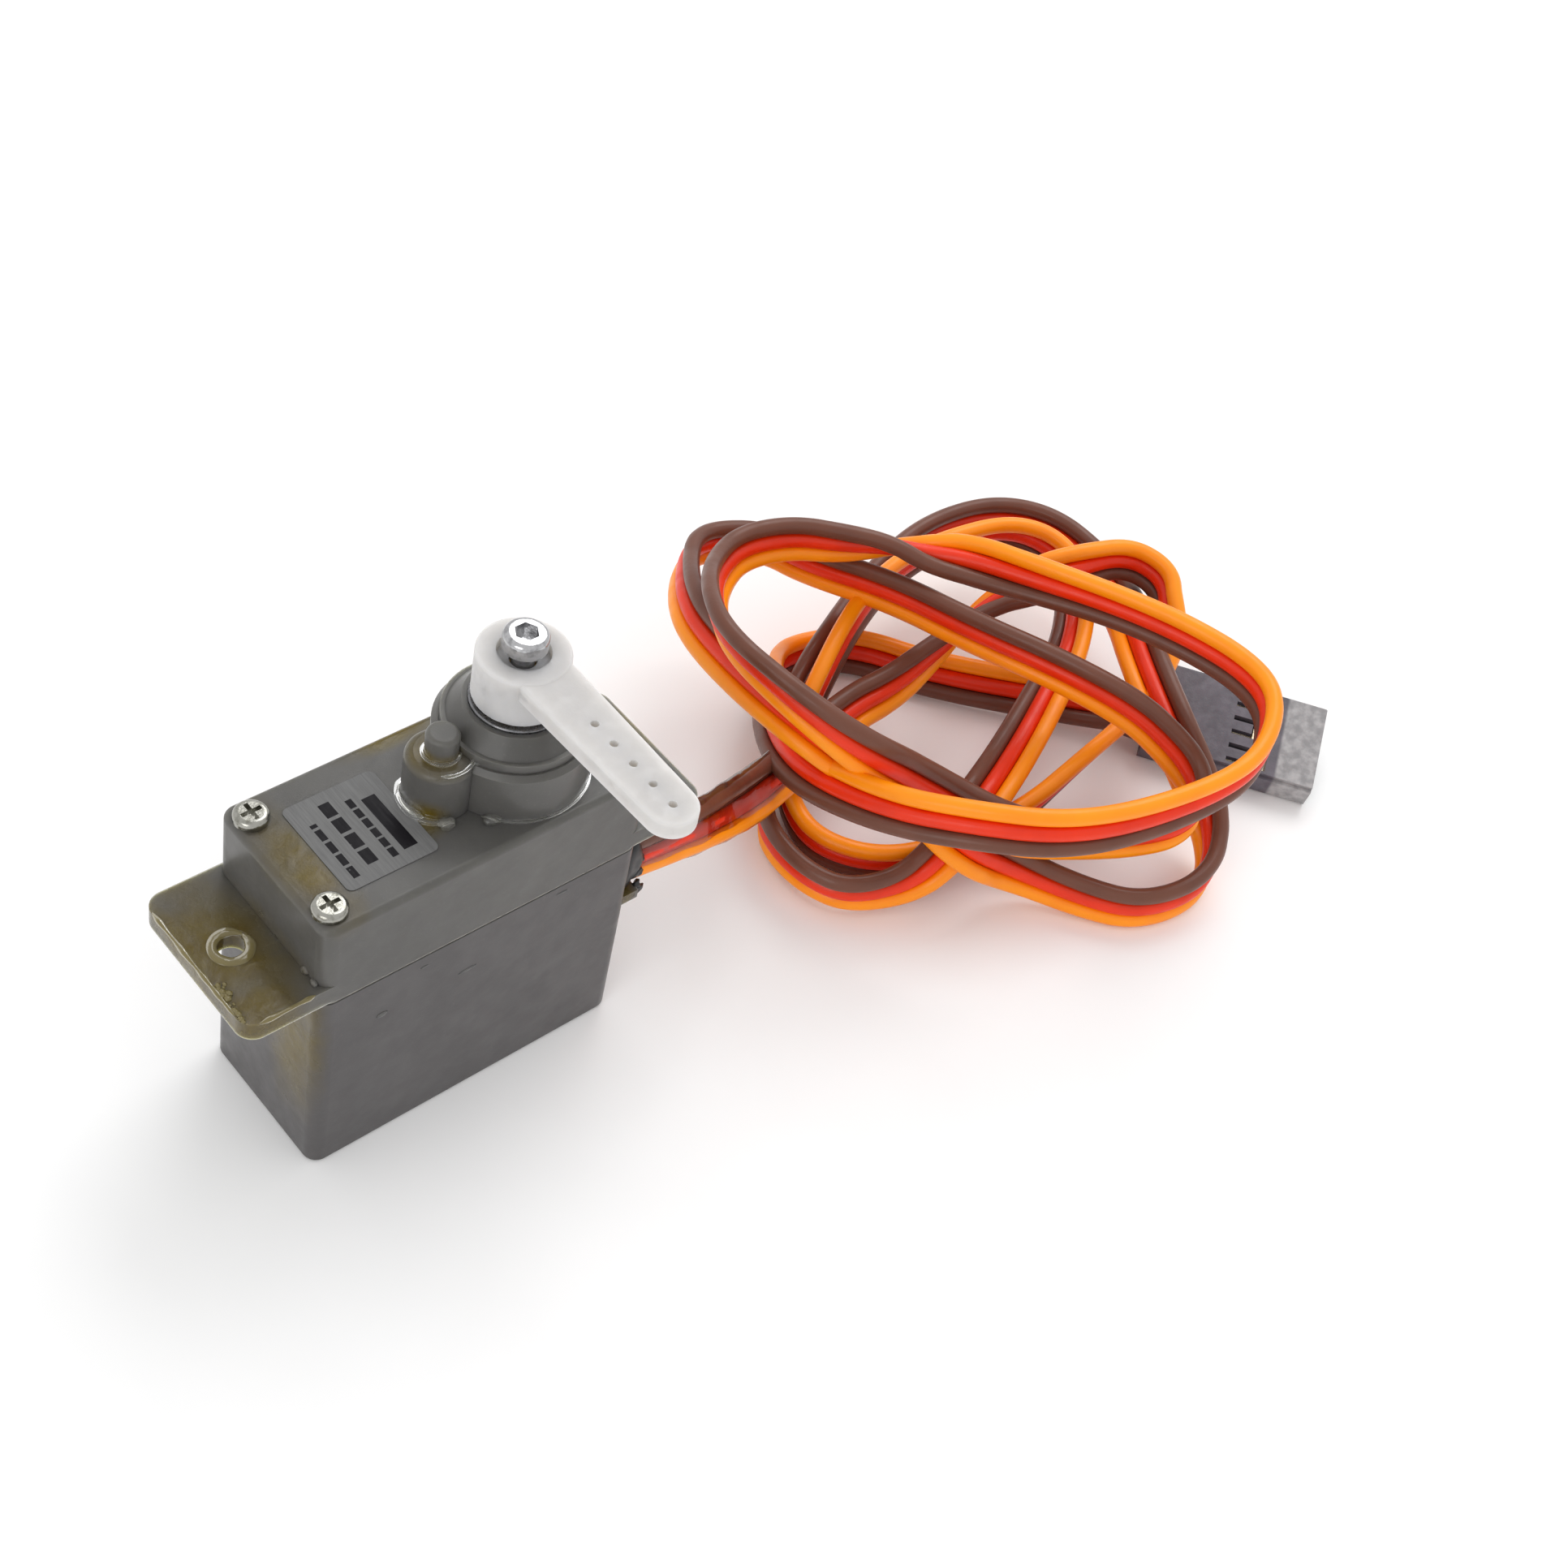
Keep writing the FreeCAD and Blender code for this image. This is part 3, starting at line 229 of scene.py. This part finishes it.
def sweep(path, first, second, sides, verts, faces):
    """Adds a closed tube: rings at each path point, spanned by two vectors per point."""
    start = len(verts)
    turns = [2 * math.pi * k / sides for k in range(sides)]
    for point, a, b in zip(path, first, second):
        verts.extend(point + a * math.cos(t) + b * math.sin(t) for t in turns)
    rings = len(path)
    for r in range(rings - 1):
        for k in range(sides):
            here, there = start + r * sides, start + (r + 1) * sides
            n = (k + 1) % sides
            faces.append((here + k, here + n, there + n, there + k))
    faces.append(tuple(start + k for k in reversed(range(sides))))
    faces.append(tuple(start + (rings - 1) * sides + k for k in range(sides)))


def unit(vectors):
    """The vectors, each at length 1."""
    return vectors / np.linalg.norm(vectors, axis=1)[:, None]


def smooth(values, window):
    """A running mean; the first and last values carry on past the ends."""
    half = window // 2
    padded = np.concatenate([np.full(half, values[0]), values, np.full(half, values[-1])])
    return np.convolve(padded, np.ones(window) / window, "valid")


def lead_centre():
    """The points of the lead's middle line, read from its NURBS route."""
    curve = bpy.data.curves.new("servo_lead_route", "CURVE")
    curve.dimensions = "3D"
    curve.resolution_u = ROUTE_STEPS
    spline = curve.splines.new("NURBS")
    spline.points.add(len(ROUTE) - 1)
    for point, (x, y, z, _) in zip(spline.points, ROUTE):
        point.co = (x * MM, y * MM, z * MM, 1)
    spline.order_u = 3
    spline.use_endpoint_u = True
    holder = bpy.data.objects.new("servo_lead_route", curve)
    mesh = bpy.data.meshes.new_from_object(holder)
    points = np.array([v.co for v in mesh.vertices], float)
    bpy.data.objects.remove(holder)
    bpy.data.curves.remove(curve)
    bpy.data.meshes.remove(mesh)
    return points


def ribbon_frame(centre):
    """Across and out of the ribbon at each point, and the length run so far."""
    along = unit(np.gradient(centre, axis=0))
    up = unit(np.array([0, 0, 1.0]) - along * along[:, 2:3])
    side = np.cross(along, up)
    spans = len(ROUTE) - 2
    knots = np.concatenate([[0], np.arange(0.5, spans), [spans]])
    turn = np.interp(np.linspace(0, spans, len(centre)), knots, [point[3] for point in ROUTE])
    turn = np.radians(smooth(turn, TURN_WINDOW))[:, None]
    across = up * np.cos(turn) + side * np.sin(turn)
    steps = np.linalg.norm(np.diff(centre, axis=0), axis=1)
    run = np.concatenate([[0], np.cumsum(steps)])
    return across, np.cross(along, across), run


def lead(materials):
    """The three wires as one piece, with its middle line and its length."""
    centre = lead_centre()
    across, _, run = ribbon_frame(centre)
    spread = np.clip((run - run[-1] + FAN_OUT) / FAN_OUT, 0, 1)
    spread = spread * spread * (3 - 2 * spread)
    pitch = (WIRE_PITCH + (CONTACT_PITCH - WIRE_PITCH) * spread)[:, None]
    verts, faces, kinds = [], [], []
    for kind, lane in enumerate((-1, 0, 1)):
        path = centre + across * pitch * lane
        along = unit(np.gradient(path, axis=0))
        first = unit(across - along * np.sum(across * along, axis=1)[:, None])
        second = np.cross(along, first)
        before = len(faces)
        sweep(path, first * WIRE_RADIUS, second * WIRE_RADIUS, WIRE_SIDES, verts, faces)
        kinds += [kind] * (len(faces) - before)
    obj = piece("servo_lead", verts, faces, materials,
                face_materials=kinds)
    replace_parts(obj, "cable_lead", "cable_coil")
    return obj, centre, float(run[-1])


def lumps(point, size, seed):
    """Smooth noise from -1 to 1 with lumps of a size in metres."""
    return noise.noise(Vector(point) / size + Vector((seed, seed * 0.37, -seed)))


def glue_sleeve(centre, material):
    """Clear glue that runs over the lead from the case to the loops."""
    across, out, run = ribbon_frame(centre)
    inside = (run > SLEEVE_START) & (run < SLEEVE_END)
    path, across, out, run = centre[inside], across[inside], out[inside], run[inside]
    lump_size, seed, sides, lift = 2.6 * MM, 4, 20, 0.12
    swell = np.array([lumps(p, lump_size, seed) for p in path])
    fade = np.clip((run[-1] - run) / SLEEVE_FADE, 0, 1) ** 0.5
    # glue past the wires in millimetres: its mean, and how far the lumps change it
    wide = (WIRE_PITCH + WIRE_RADIUS + (0.18 + 0.16 * swell) * MM * fade)[:, None]
    thick = (WIRE_RADIUS + (0.1 + 0.12 * swell) * MM * fade)[:, None]
    verts, faces = [], []
    sweep(path + out * lift * MM, across * wide, out * thick, sides, verts, faces)
    return piece("lead_glue", verts, faces, [material])


def blob(verts, faces, centre, radii, seed, rough=0.3, levels=2):
    """Adds a lumpy ball; rough is how far its lumps change the radius."""
    lump_share = 0.8
    bm = bmesh.new()
    bmesh.ops.create_icosphere(bm, subdivisions=levels, radius=1)
    start = len(verts)
    size = max(radii)
    for v in bm.verts:
        grow = 1 + rough * lumps(v.co * size, size * lump_share, seed)
        verts.append([centre[k] + v.co[k] * radii[k] * grow for k in range(3)])
    bm.faces.ensure_lookup_table()
    faces.extend(tuple(start + v.index for v in f.verts) for f in bm.faces)
    bm.free()


def bead(verts, faces, points, radius, seed, flat=1.0, rough=0.35):
    """Adds an uneven bead of glue along points, tapered at both ends."""
    path = np.array(points, float)
    along = unit(np.gradient(path, axis=0))
    up = unit(np.array([0, 0, 1.0]) - along * along[:, 2:3] + 1e-9)
    side = np.cross(along, up)
    t = np.linspace(0, 1, len(path))
    tapered_share, thinnest, lump_size, sides = 0.125, 0.08, 1.1 * MM, 10
    taper = np.clip(np.minimum(t, 1 - t) / tapered_share, thinnest, 1) ** 0.6
    swell = 1 + rough * np.array([lumps(p, lump_size, seed) for p in path])
    size = (radius * taper * swell)[:, None]
    sweep(path, side * size, up * size * flat, sides, verts, faces)


def arc(centre, radius, height, start, end, count):
    """Points on a level arc, from one turn in degrees to another."""
    turns = np.radians(np.linspace(start, end, count))
    return [(centre[0] + radius * math.cos(t), centre[1] + radius * math.sin(t), height)
            for t in turns]


# --- Materials ----------------------------------------------------------------------

class Shader:
    """A principled material that is built node by node, in the piece's own coordinates."""

    def __init__(self, name, **settings):
        self.mat = bpy.data.materials.new(name)
        self.mat.use_nodes = True
        self.tree = self.mat.node_tree
        self.bsdf = self.tree.nodes["Principled BSDF"]
        self.place = self.tree.nodes.new("ShaderNodeTexCoord").outputs["Object"]
        for key, value in settings.items():
            self.bsdf.inputs[key.replace("_", " ")].default_value = value

    def node(self, kind, inputs=(), **settings):
        """A new node; an input is a socket to link or a value to set."""
        made = self.tree.nodes.new("ShaderNode" + kind)
        for key, value in settings.items():
            setattr(made, key, value)
        for key, value in dict(inputs).items():
            if isinstance(value, bpy.types.NodeSocket):
                self.tree.links.new(value, made.inputs[key])
            else:
                made.inputs[key].default_value = value
        return made

    def link(self, socket, name):
        self.tree.links.new(socket, self.bsdf.inputs[name])

    def math(self, operation, a, b=0.0):
        return self.node("Math", {0: a, 1: b}, operation=operation).outputs[0]

    def stretched(self, scale):
        return self.node("Mapping", {"Vector": self.place, "Scale": scale}).outputs[0]

    def noise(self, size, detail=4.0, vector=None, distortion=0.0):
        """Noise with features of a size in metres."""
        inputs = {"Vector": vector or self.place, "Scale": 1 / size, "Detail": detail,
                  "Distortion": distortion}
        return self.node("TexNoise", inputs).outputs["Fac"]

    def remap(self, value, low, high, to_low=0.0, to_high=1.0):
        """A smooth step of a value between two limits."""
        inputs = {"Value": value, 1: low, 2: high, 3: to_low, 4: to_high}
        return self.node("MapRange", inputs, interpolation_type="SMOOTHSTEP").outputs[0]

    def roughness(self, size, detail, low, high):
        """Roughness from low to high, uneven at a size in metres."""
        self.link(self.remap(self.noise(size, detail), 0.3, 0.7, low, high), "Roughness")

    def mix(self, factor, a, b):
        """A blend of two colours."""
        made = self.node("Mix", data_type="RGBA")
        for index, value in ((0, factor), (6, a), (7, b)):
            if isinstance(value, bpy.types.NodeSocket):
                self.tree.links.new(value, made.inputs[index])
            elif index == 0:
                made.inputs[index].default_value = value
            else:
                made.inputs[index].default_value = (*value, 1)
        return made.outputs[2]

    def bump(self, height, distance):
        """Bump whose full height is a distance in metres; later bumps add to earlier ones."""
        made = self.node("Bump", {"Height": height, "Distance": distance, "Strength": 1.0})
        normal = self.bsdf.inputs["Normal"]
        if normal.is_linked:
            self.tree.links.new(normal.links[0].from_socket, made.inputs["Normal"])
        self.tree.links.new(made.outputs[0], normal)

    def patch(self, centre, radii):
        """1 inside an uneven ellipsoid, 0 outside."""
        lump_size, ragged, outside, inside = 1.8 * MM, 0.2, 1.15, 0.15
        shifted = self.node("Mapping", {
            "Vector": self.place,
            "Location": [-c / r for c, r in zip(centre, radii)],
            "Scale": [1 / r for r in radii],
        }).outputs[0]
        reach = self.node("VectorMath", {0: shifted}, operation="LENGTH").outputs["Value"]
        swing = self.math("SUBTRACT", self.noise(lump_size), 0.5)
        uneven = self.math("MULTIPLY", swing, 2 * ragged)
        return self.remap(self.math("ADD", reach, uneven), outside, inside)


def mm(*values):
    """Millimetres as metres."""
    return tuple(v * MM for v in values)


def case_plastic(name, tone, stains, waxy):
    """Glossy grey nylon with yellow-green glue stains; a stain is (centre, radii) in mm."""
    s = Shader(name, Subsurface_Weight=waxy, Subsurface_Scale=1.6 * MM, Coat_Weight=0.1,
               Coat_Roughness=0.1, Specular_IOR_Level=0.3)
    s.bsdf.inputs["Subsurface Radius"].default_value = (1.0, 1.0, 0.8)
    darker, lighter, pale = ([c * share for c in tone] for share in (0.93, 1.08, 1.5))
    grey = s.mix(s.remap(s.noise(4 * MM, 5), 0.35, 0.7), darker, lighter)
    speck = s.remap(s.noise(0.25 * MM, 2), 0.62, 0.75)
    grey = s.mix(s.math("MULTIPLY", speck, 0.25), grey, pale)
    mask = None
    for centre, radii in stains:
        one = s.patch(mm(*centre), mm(*radii))
        mask = one if mask is None else s.math("MAXIMUM", mask, one)
    olive = s.mix(s.noise(2.0 * MM, 5), *OLIVE)
    soiled = s.math("MULTIPLY", mask, s.remap(s.noise(2.5 * MM, 3), 0.25, 0.6, 0.55, 1.0))
    height = s.node("SeparateXYZ", {0: s.place}).outputs["Z"]
    away = s.math("ABSOLUTE", s.math("SUBTRACT", height, SEAM))
    dirt = s.math("MULTIPLY", s.math("LESS_THAN", away, SEAM_HALF),
                  s.remap(s.noise(0.8 * MM, 4), 0.3, 0.5, 0.5, 0.9))
    s.link(s.mix(dirt, s.mix(soiled, grey, olive), DIRT), "Base Color")
    rough = s.remap(s.noise(1.5 * MM, 6), 0.3, 0.7, 0.3, 0.42)
    s.link(s.math("SUBTRACT", rough, s.math("MULTIPLY", mask, 0.16)), "Roughness")
    s.bump(s.noise(0.12 * MM, 3), 0.006 * MM)
    s.bump(s.noise(2.2 * MM, 2), 0.05 * MM)
    s.bump(s.math("MULTIPLY", mask, s.noise(1.4 * MM, 2, distortion=0.6)), 0.07 * MM)
    return s.mat


def insulation(name, colour, dark):
    """Glossy soft PVC with faint smears."""
    s = Shader(name, Coat_Weight=0.15, Coat_Roughness=0.1, Specular_IOR_Level=0.3)
    s.link(s.mix(s.remap(s.noise(3 * MM, 4), 0.35, 0.75, 0, 0.45), colour, dark), "Base Color")
    s.roughness(1.4 * MM, 5, 0.34, 0.5)
    s.bump(s.noise(0.3 * MM, 3), 0.01 * MM)
    return s.mat


def metal(name, colour, rough, grime, grain=0.15, scratch=(1, 1, 1)):
    """Worn metal; grain is the width of its lines in millimetres, drawn out by scratch."""
    s = Shader(name, Metallic=1.0)
    worn = s.remap(s.noise(0.5 * MM, 5), 0.45, 0.75)
    s.link(s.mix(s.math("MULTIPLY", worn, 0.6), colour, grime), "Base Color")
    lines = s.noise(grain * MM, 3, s.stretched(scratch))
    s.link(s.remap(lines, 0.3, 0.7, rough * 0.7, rough * 1.4), "Roughness")
    s.bump(lines, 0.008 * MM)
    return s.mat


def plastic(name, colour, worn, rough, see_through=0.0):
    """Plastic or rubber with worn or dusty patches."""
    s = Shader(name, Subsurface_Weight=see_through, Subsurface_Scale=1.2 * MM)
    mask = s.math("MULTIPLY", s.remap(s.noise(0.8 * MM, 6), 0.45, 0.75), 0.3)
    s.link(s.mix(mask, colour, worn), "Base Color")
    s.roughness(0.6 * MM, 4, rough * 0.8, rough * 1.25)
    s.bump(s.noise(0.15 * MM, 3), 0.008 * MM)
    return s.mat


def clear_glue(name, tint, cloudy):
    """Hot glue: clear, or the cloudier the nearer cloudy is to 1."""
    s = Shader(name, IOR=1.48, Transmission_Weight=1 - cloudy)
    paler = [min(1, c * 1.25) for c in tint]
    s.link(s.mix(s.noise(0.8 * MM, 4), tint, paler), "Base Color")
    s.roughness(0.7 * MM, 3, 0.03, 0.1)
    s.bump(s.noise(0.8 * MM, 2), 0.02 * MM)
    return s.mat


def label_foil():
    """Brushed grey foil with plain dark bars in place of print."""
    s = Shader("label_foil", Specular_IOR_Level=0.12)
    low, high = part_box("label")
    axes = s.node("SeparateXYZ", {0: s.place}).outputs
    length, width = high.x - low.x, high.y - low.y
    x = s.math("DIVIDE", s.math("SUBTRACT", axes["X"], low.x), length)
    y = s.math("DIVIDE", s.math("SUBTRACT", axes["Y"], low.y), width)
    brushed = s.noise(0.12 * MM, 3, s.stretched((1, 0.06, 1)))
    foil = s.mix(brushed, (0.10, 0.10, 0.10), (0.20, 0.20, 0.198))
    ink = None
    for middle, half, first, last, block in LABEL_BARS:
        away = s.math("ABSOLUTE", s.math("SUBTRACT", x, middle))
        row = s.math("LESS_THAN", away, half)
        inside = s.math("MULTIPLY", s.math("GREATER_THAN", y, first),
                        s.math("LESS_THAN", y, last))
        step = s.math("FRACT", s.math("DIVIDE", s.math("SUBTRACT", y, first), block))
        bar = s.math("MULTIPLY", s.math("MULTIPLY", row, inside),
                     s.math("LESS_THAN", step, INK_PART))
        ink = bar if ink is None else s.math("MAXIMUM", ink, bar)
    worn = s.remap(s.noise(0.5 * MM, 5), 0.2, 0.3)
    s.link(s.mix(s.math("MULTIPLY", ink, worn), foil, (0.006, 0.005, 0.007)), "Base Color")
    s.link(s.remap(brushed, 0.3, 0.7, 0.28, 0.45), "Roughness")
    s.bump(brushed, 0.01 * MM)
    s.bump(s.noise(1.5 * MM, 2), 0.06 * MM)
    return s.mat


def horn_nylon():
    """White nylon that lets some light through."""
    s = Shader("horn_nylon", Subsurface_Weight=1.0, Subsurface_Scale=2.6 * MM, Coat_Weight=0.05)
    s.bsdf.inputs["Subsurface Radius"].default_value = (1.0, 0.95, 0.85)
    s.link(s.mix(s.noise(3 * MM, 4), (0.48, 0.47, 0.467), (0.55, 0.54, 0.536)), "Base Color")
    s.roughness(1.0 * MM, 5, 0.3, 1.2)
    s.bump(s.noise(0.2 * MM, 3), 0.008 * MM)
    s.bump(s.noise(2.5 * MM, 2), 0.05 * MM)
    return s.mat


def connector_plastic():
    """Black housing, rubbed pale at the mating end."""
    s = Shader("connector_black", Coat_Weight=0.05)
    dark = s.mix(s.remap(s.noise(1.5 * MM, 6), 0.35, 0.75),
                 (0.090, 0.080, 0.098), (0.13, 0.115, 0.14))
    pale = s.mix(s.remap(s.noise(0.7 * MM, 6), 0.3, 0.75),
                 (0.24, 0.235, 0.24), (0.40, 0.39, 0.395))
    axis = Vector((math.cos(PLUG_TURN), math.sin(PLUG_TURN), 0))
    low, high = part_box("connector_housing")
    start = axis.dot((low + high) / 2) + PALE_END
    ahead = s.node("VectorMath", {0: s.place, 1: axis}, operation="DOT_PRODUCT").outputs["Value"]
    rubbed = s.remap(ahead, start, start + PALE_FADE)
    s.link(s.mix(rubbed, dark, pale), "Base Color")
    s.roughness(0.5 * MM, 4, 0.42, 0.62)
    s.bump(s.noise(0.2 * MM, 4), 0.02 * MM)
    return s.mat


def board():
    """Green circuit board with faint traces."""
    s = Shader("board_green", Coat_Weight=0.4)
    traces = s.remap(s.noise(0.9 * MM, 0, s.stretched((1, 3, 1))), 0.49, 0.52)
    s.link(s.mix(traces, (0.01, 0.09, 0.035), (0.02, 0.16, 0.06)), "Base Color")
    s.roughness(0.4 * MM, 4, 0.3, 0.5)
    s.bump(traces, 0.02 * MM)
    return s.mat


def floor_paper():
    """Plain pale paper."""
    s = Shader("floor_paper", Roughness=0.8)
    s.link(s.mix(s.noise(6 * MM, 5), (0.93, 0.93, 0.93), (0.96, 0.96, 0.96)), "Base Color")
    return s.mat


# --- Stage --------------------------------------------------------------------------

def make_camera():
    azimuth, elevation, roll = (math.radians(a) for a in CAMERA_ANGLES)
    back = Vector((math.sin(azimuth) * math.cos(elevation),
                   -math.cos(azimuth) * math.cos(elevation), math.sin(elevation)))
    level = (-back).cross(Vector((0, 0, 1))).normalized()
    above = level.cross(-back)
    right = level * math.cos(roll) + above * math.sin(roll)
    up = above * math.cos(roll) - level * math.sin(roll)
    data = bpy.data.cameras.new("camera")
    data.lens = FOCAL_LENGTH
    data.sensor_width = SENSOR_WIDTH
    data.clip_start = NEAREST_SEEN
    camera = bpy.data.objects.new("camera", data)
    bpy.context.scene.collection.objects.link(camera)
    turn = Matrix((right, up, back)).transposed().to_4x4()
    camera.matrix_world = Matrix.Translation(Vector(CAMERA_PLACE) * MM) @ turn
    bpy.context.scene.camera = camera


def area_light(name, place, size, power):
    data = bpy.data.lights.new(name, "AREA")
    data.shape = "DISK"
    data.size = size
    data.energy = power
    lamp = bpy.data.objects.new(name, data)
    bpy.context.scene.collection.objects.link(lamp)
    lamp.location = place
    lamp.rotation_mode = "QUATERNION"
    lamp.rotation_quaternion = (Vector(LIGHT_AIM) - Vector(place)).to_track_quat("-Z", "Y")


def make_stage():
    half = FLOOR_HALF
    mesh = bpy.data.meshes.new("floor")
    mesh.from_pydata([(-half, -half, 0), (half, -half, 0), (half, half, 0), (-half, half, 0)], [],
                     [(0, 1, 2, 3)])
    mesh.materials.append(floor_paper())
    ground = bpy.data.objects.new("floor", mesh)
    bpy.context.scene.collection.objects.link(ground)
    world = bpy.data.worlds.new("studio")
    world.use_nodes = True
    background = world.node_tree.nodes["Background"]
    background.inputs["Color"].default_value = (1, 1, 1, 1)
    background.inputs["Strength"].default_value = WORLD_STRENGTH
    bpy.context.scene.world = world
    bpy.context.scene.view_settings.view_transform = "Standard"
    for name, place, size, power in LIGHTS:
        area_light(name, place, size, power)


# --- The lead -----------------------------------------------------------------------

make_camera()
make_stage()
wires = [insulation("wire_brown", (0.150, 0.052, 0.030), (0.100, 0.034, 0.020)),
         insulation("wire_red", (0.82, 0.030, 0.0), (0.62, 0.018, 0.0)),
         insulation("wire_orange", (1.0, 0.30, 0.0), (0.92, 0.22, 0.0))]
ribbon, ribbon_centre, ribbon_length = lead(wires)
sleeve = glue_sleeve(ribbon_centre, clear_glue("lead_glue", (1.0, 0.96, 0.82), 0.0))


# --- The case -----------------------------------------------------------------------

def case_glue(material):
    """Beads and smears of clear glue round the boss, the tower's foot and the nub."""
    verts, faces = [], []
    for centre, radius, height, first, last, count, thick, seed, flat in GLUE_BEADS:
        path = arc(centre, radius * MM, height * MM, first, last, count)
        bead(verts, faces, path, thick * MM, seed, flat=flat)
    for place, radii, seed in GLUE_DROPS:
        blob(verts, faces, mm(*place), mm(*radii), seed)
    return piece("case_glue", verts, faces, [material])


def tab_glue(material):
    """Yellowed glue on the motor-end tab: a rim round its hole and crumbs along its edge."""
    verts, faces = [], []
    rim = arc(TAB_HOLE, 1.14 * MM, TAB_TOP - 0.06 * MM, 20, 388, 70)
    bead(verts, faces, rim, 0.36 * MM, 11, flat=0.5, rough=0.15)
    end = [(TAB_END, y * MM, TAB_TOP - 0.05 * MM) for y in np.linspace(-4.6, 4.9, 60)]
    bead(verts, faces, end, 0.22 * MM, 12, flat=0.8, rough=0.7)
    side = [(x * MM, TAB_SIDE, TAB_TOP - 0.03 * MM) for x in np.linspace(-16.3, -12.4, 36)]
    bead(verts, faces, side, 0.16 * MM, 13, flat=0.8, rough=0.8)
    draw = random.Random(7)
    for n in range(CRUMBS_ON_TAB):
        along = draw.random()
        x = -16.9 + 0.7 * along * draw.random()
        y = -5.2 + 3.6 * along
        size = draw.uniform(0.08, 0.24) * MM
        blob(verts, faces, mm(x, y, 18.42), (size, size * 1.2, size * 0.7), 20 + n, levels=1)
    for n in range(CRUMBS_ON_TAB_END):
        size = draw.uniform(0.1, 0.22) * MM
        place = mm(-16.95, draw.uniform(-5.0, -1.5), draw.uniform(17.1, 18.1))
        blob(verts, faces, place, (size * 0.6, size, size), 60 + n, levels=1)
    return piece("tab_glue", verts, faces, [material])


def mould_marks(material):
    """Small burrs and pips on the case's long side and at the tab's root."""
    verts, faces = [], []
    for n, (place, radii) in enumerate(MOULD_MARKS):
        blob(verts, faces, mm(*place), mm(*radii), 80 + n)
    return piece("mould_marks", verts, faces, [material])


def rough_grommet(material):
    """Torn black rubber round the lead where it leaves the case."""
    low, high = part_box("cable_grommet")
    verts, faces = [], []
    middle, half = (low + high) / 2, (high - low) / 2
    blob(verts, faces, middle, half * 1.08, 101, rough=0.35, levels=4)
    draw = random.Random(5)
    for n in range(TORN_LUMPS):
        place = (high.x - draw.uniform(0.0, 0.5) * MM, draw.uniform(low.y, high.y),
                 draw.uniform(low.z - 0.6 * MM, middle.z))
        radii = (draw.uniform(0.3, 0.7) * MM, draw.uniform(0.2, 0.4) * MM,
                 draw.uniform(0.3, 0.7) * MM)
        blob(verts, faces, place, radii, 110 + n, rough=0.6, levels=3)
    obj = piece("torn_grommet", verts, faces, [material])
    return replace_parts(obj, "cable_grommet")


lower_grey = case_plastic("case_grey_lower", LOWER_GREY, LOWER_STAINS, 0.3)
# Lighter copy of the case grey: painted light on the upper shell's shaded faces, plus stronger
# real subsurface.
upper_grey_painted_lighter = case_plastic("case_grey_upper_painted_lighter", UPPER_GREY_PAINTED_LIGHTER, UPPER_STAINS, 0.8)
case_glue(clear_glue("case_glue", (0.88, 0.88, 0.78), 0.05))
tab_glue(clear_glue("tab_glue", (0.19, 0.155, 0.06), 0.75))
mould_marks(upper_grey_painted_lighter)
rough_grommet(plastic("grommet_rubber", (0.012, 0.012, 0.013), (0.05, 0.05, 0.05), 0.35))


# --- Finishes of the CAD nodes ------------------------------------------------------

brass = metal("brass", (0.62, 0.45, 0.17), 0.25, (0.35, 0.22, 0.07))
screw_steel = metal("screw_steel", (0.38, 0.375, 0.34), 0.18, (0.08, 0.075, 0.045))
chip = plastic("chip_black", (0.015, 0.015, 0.016), (0.05, 0.05, 0.05), 0.4)
nylon = plastic("gear_nylon", (0.78, 0.78, 0.74), (0.62, 0.61, 0.56), 0.35, see_through=0.4)
black = plastic("dark_plastic", (0.02, 0.02, 0.022), (0.07, 0.07, 0.07), 0.45)
magnet = metal("magnet", (0.12, 0.12, 0.13), 0.6, (0.05, 0.05, 0.05))
FINISHES = {
    "lower_case": lower_grey,
    "upper_case": upper_grey_painted_lighter,
    "gear_plate": plastic("inner_plastic", (0.10, 0.105, 0.11), (0.2, 0.2, 0.2), 0.5),
    "label": label_foil(),
    "case_screws": screw_steel,
    "gear_pin": screw_steel,
    "motor_can": metal("can_steel", (0.55, 0.56, 0.57), 0.3, (0.35, 0.34, 0.32), 0.3, (1, 1, 0.1)),
    "motor_rotor": metal("rotor_steel", (0.45, 0.25, 0.14), 0.35, (0.2, 0.12, 0.08), 0.2),
    "motor_magnet_left": magnet,
    "motor_magnet_right": magnet,
    "motor_end_cap": black,
    "potentiometer": black,
    "pot_rotor": nylon,
    "gear_1": nylon,
    "gear_2": nylon,
    "motor_pinion": brass,
    "gear_3": brass,
    "output_gear": brass,
    "output_shaft": brass,
    "output_bearing": metal("bearing_dark", (0.22, 0.22, 0.23), 0.3, (0.06, 0.06, 0.06)),
    "circuit_board": board(),
    "control_chip": chip,
    "driver_chip": chip,
    "capacitor": plastic("capacitor", (0.22, 0.10, 0.03), (0.35, 0.2, 0.08), 0.4),
    "horn": horn_nylon(),
    "horn_screw": metal("horn_screw_steel", (0.50, 0.50, 0.51), 0.08, (0.12, 0.12, 0.125)),
    "connector_housing": connector_plastic(),
    "connector_contacts": metal("contact_metal", (0.62, 0.52, 0.38), 0.25, (0.10, 0.07, 0.05)),
}
for name, finish in FINISHES.items():
    for material_slot in NODES[name].material_slots:
        material_slot.material = finish
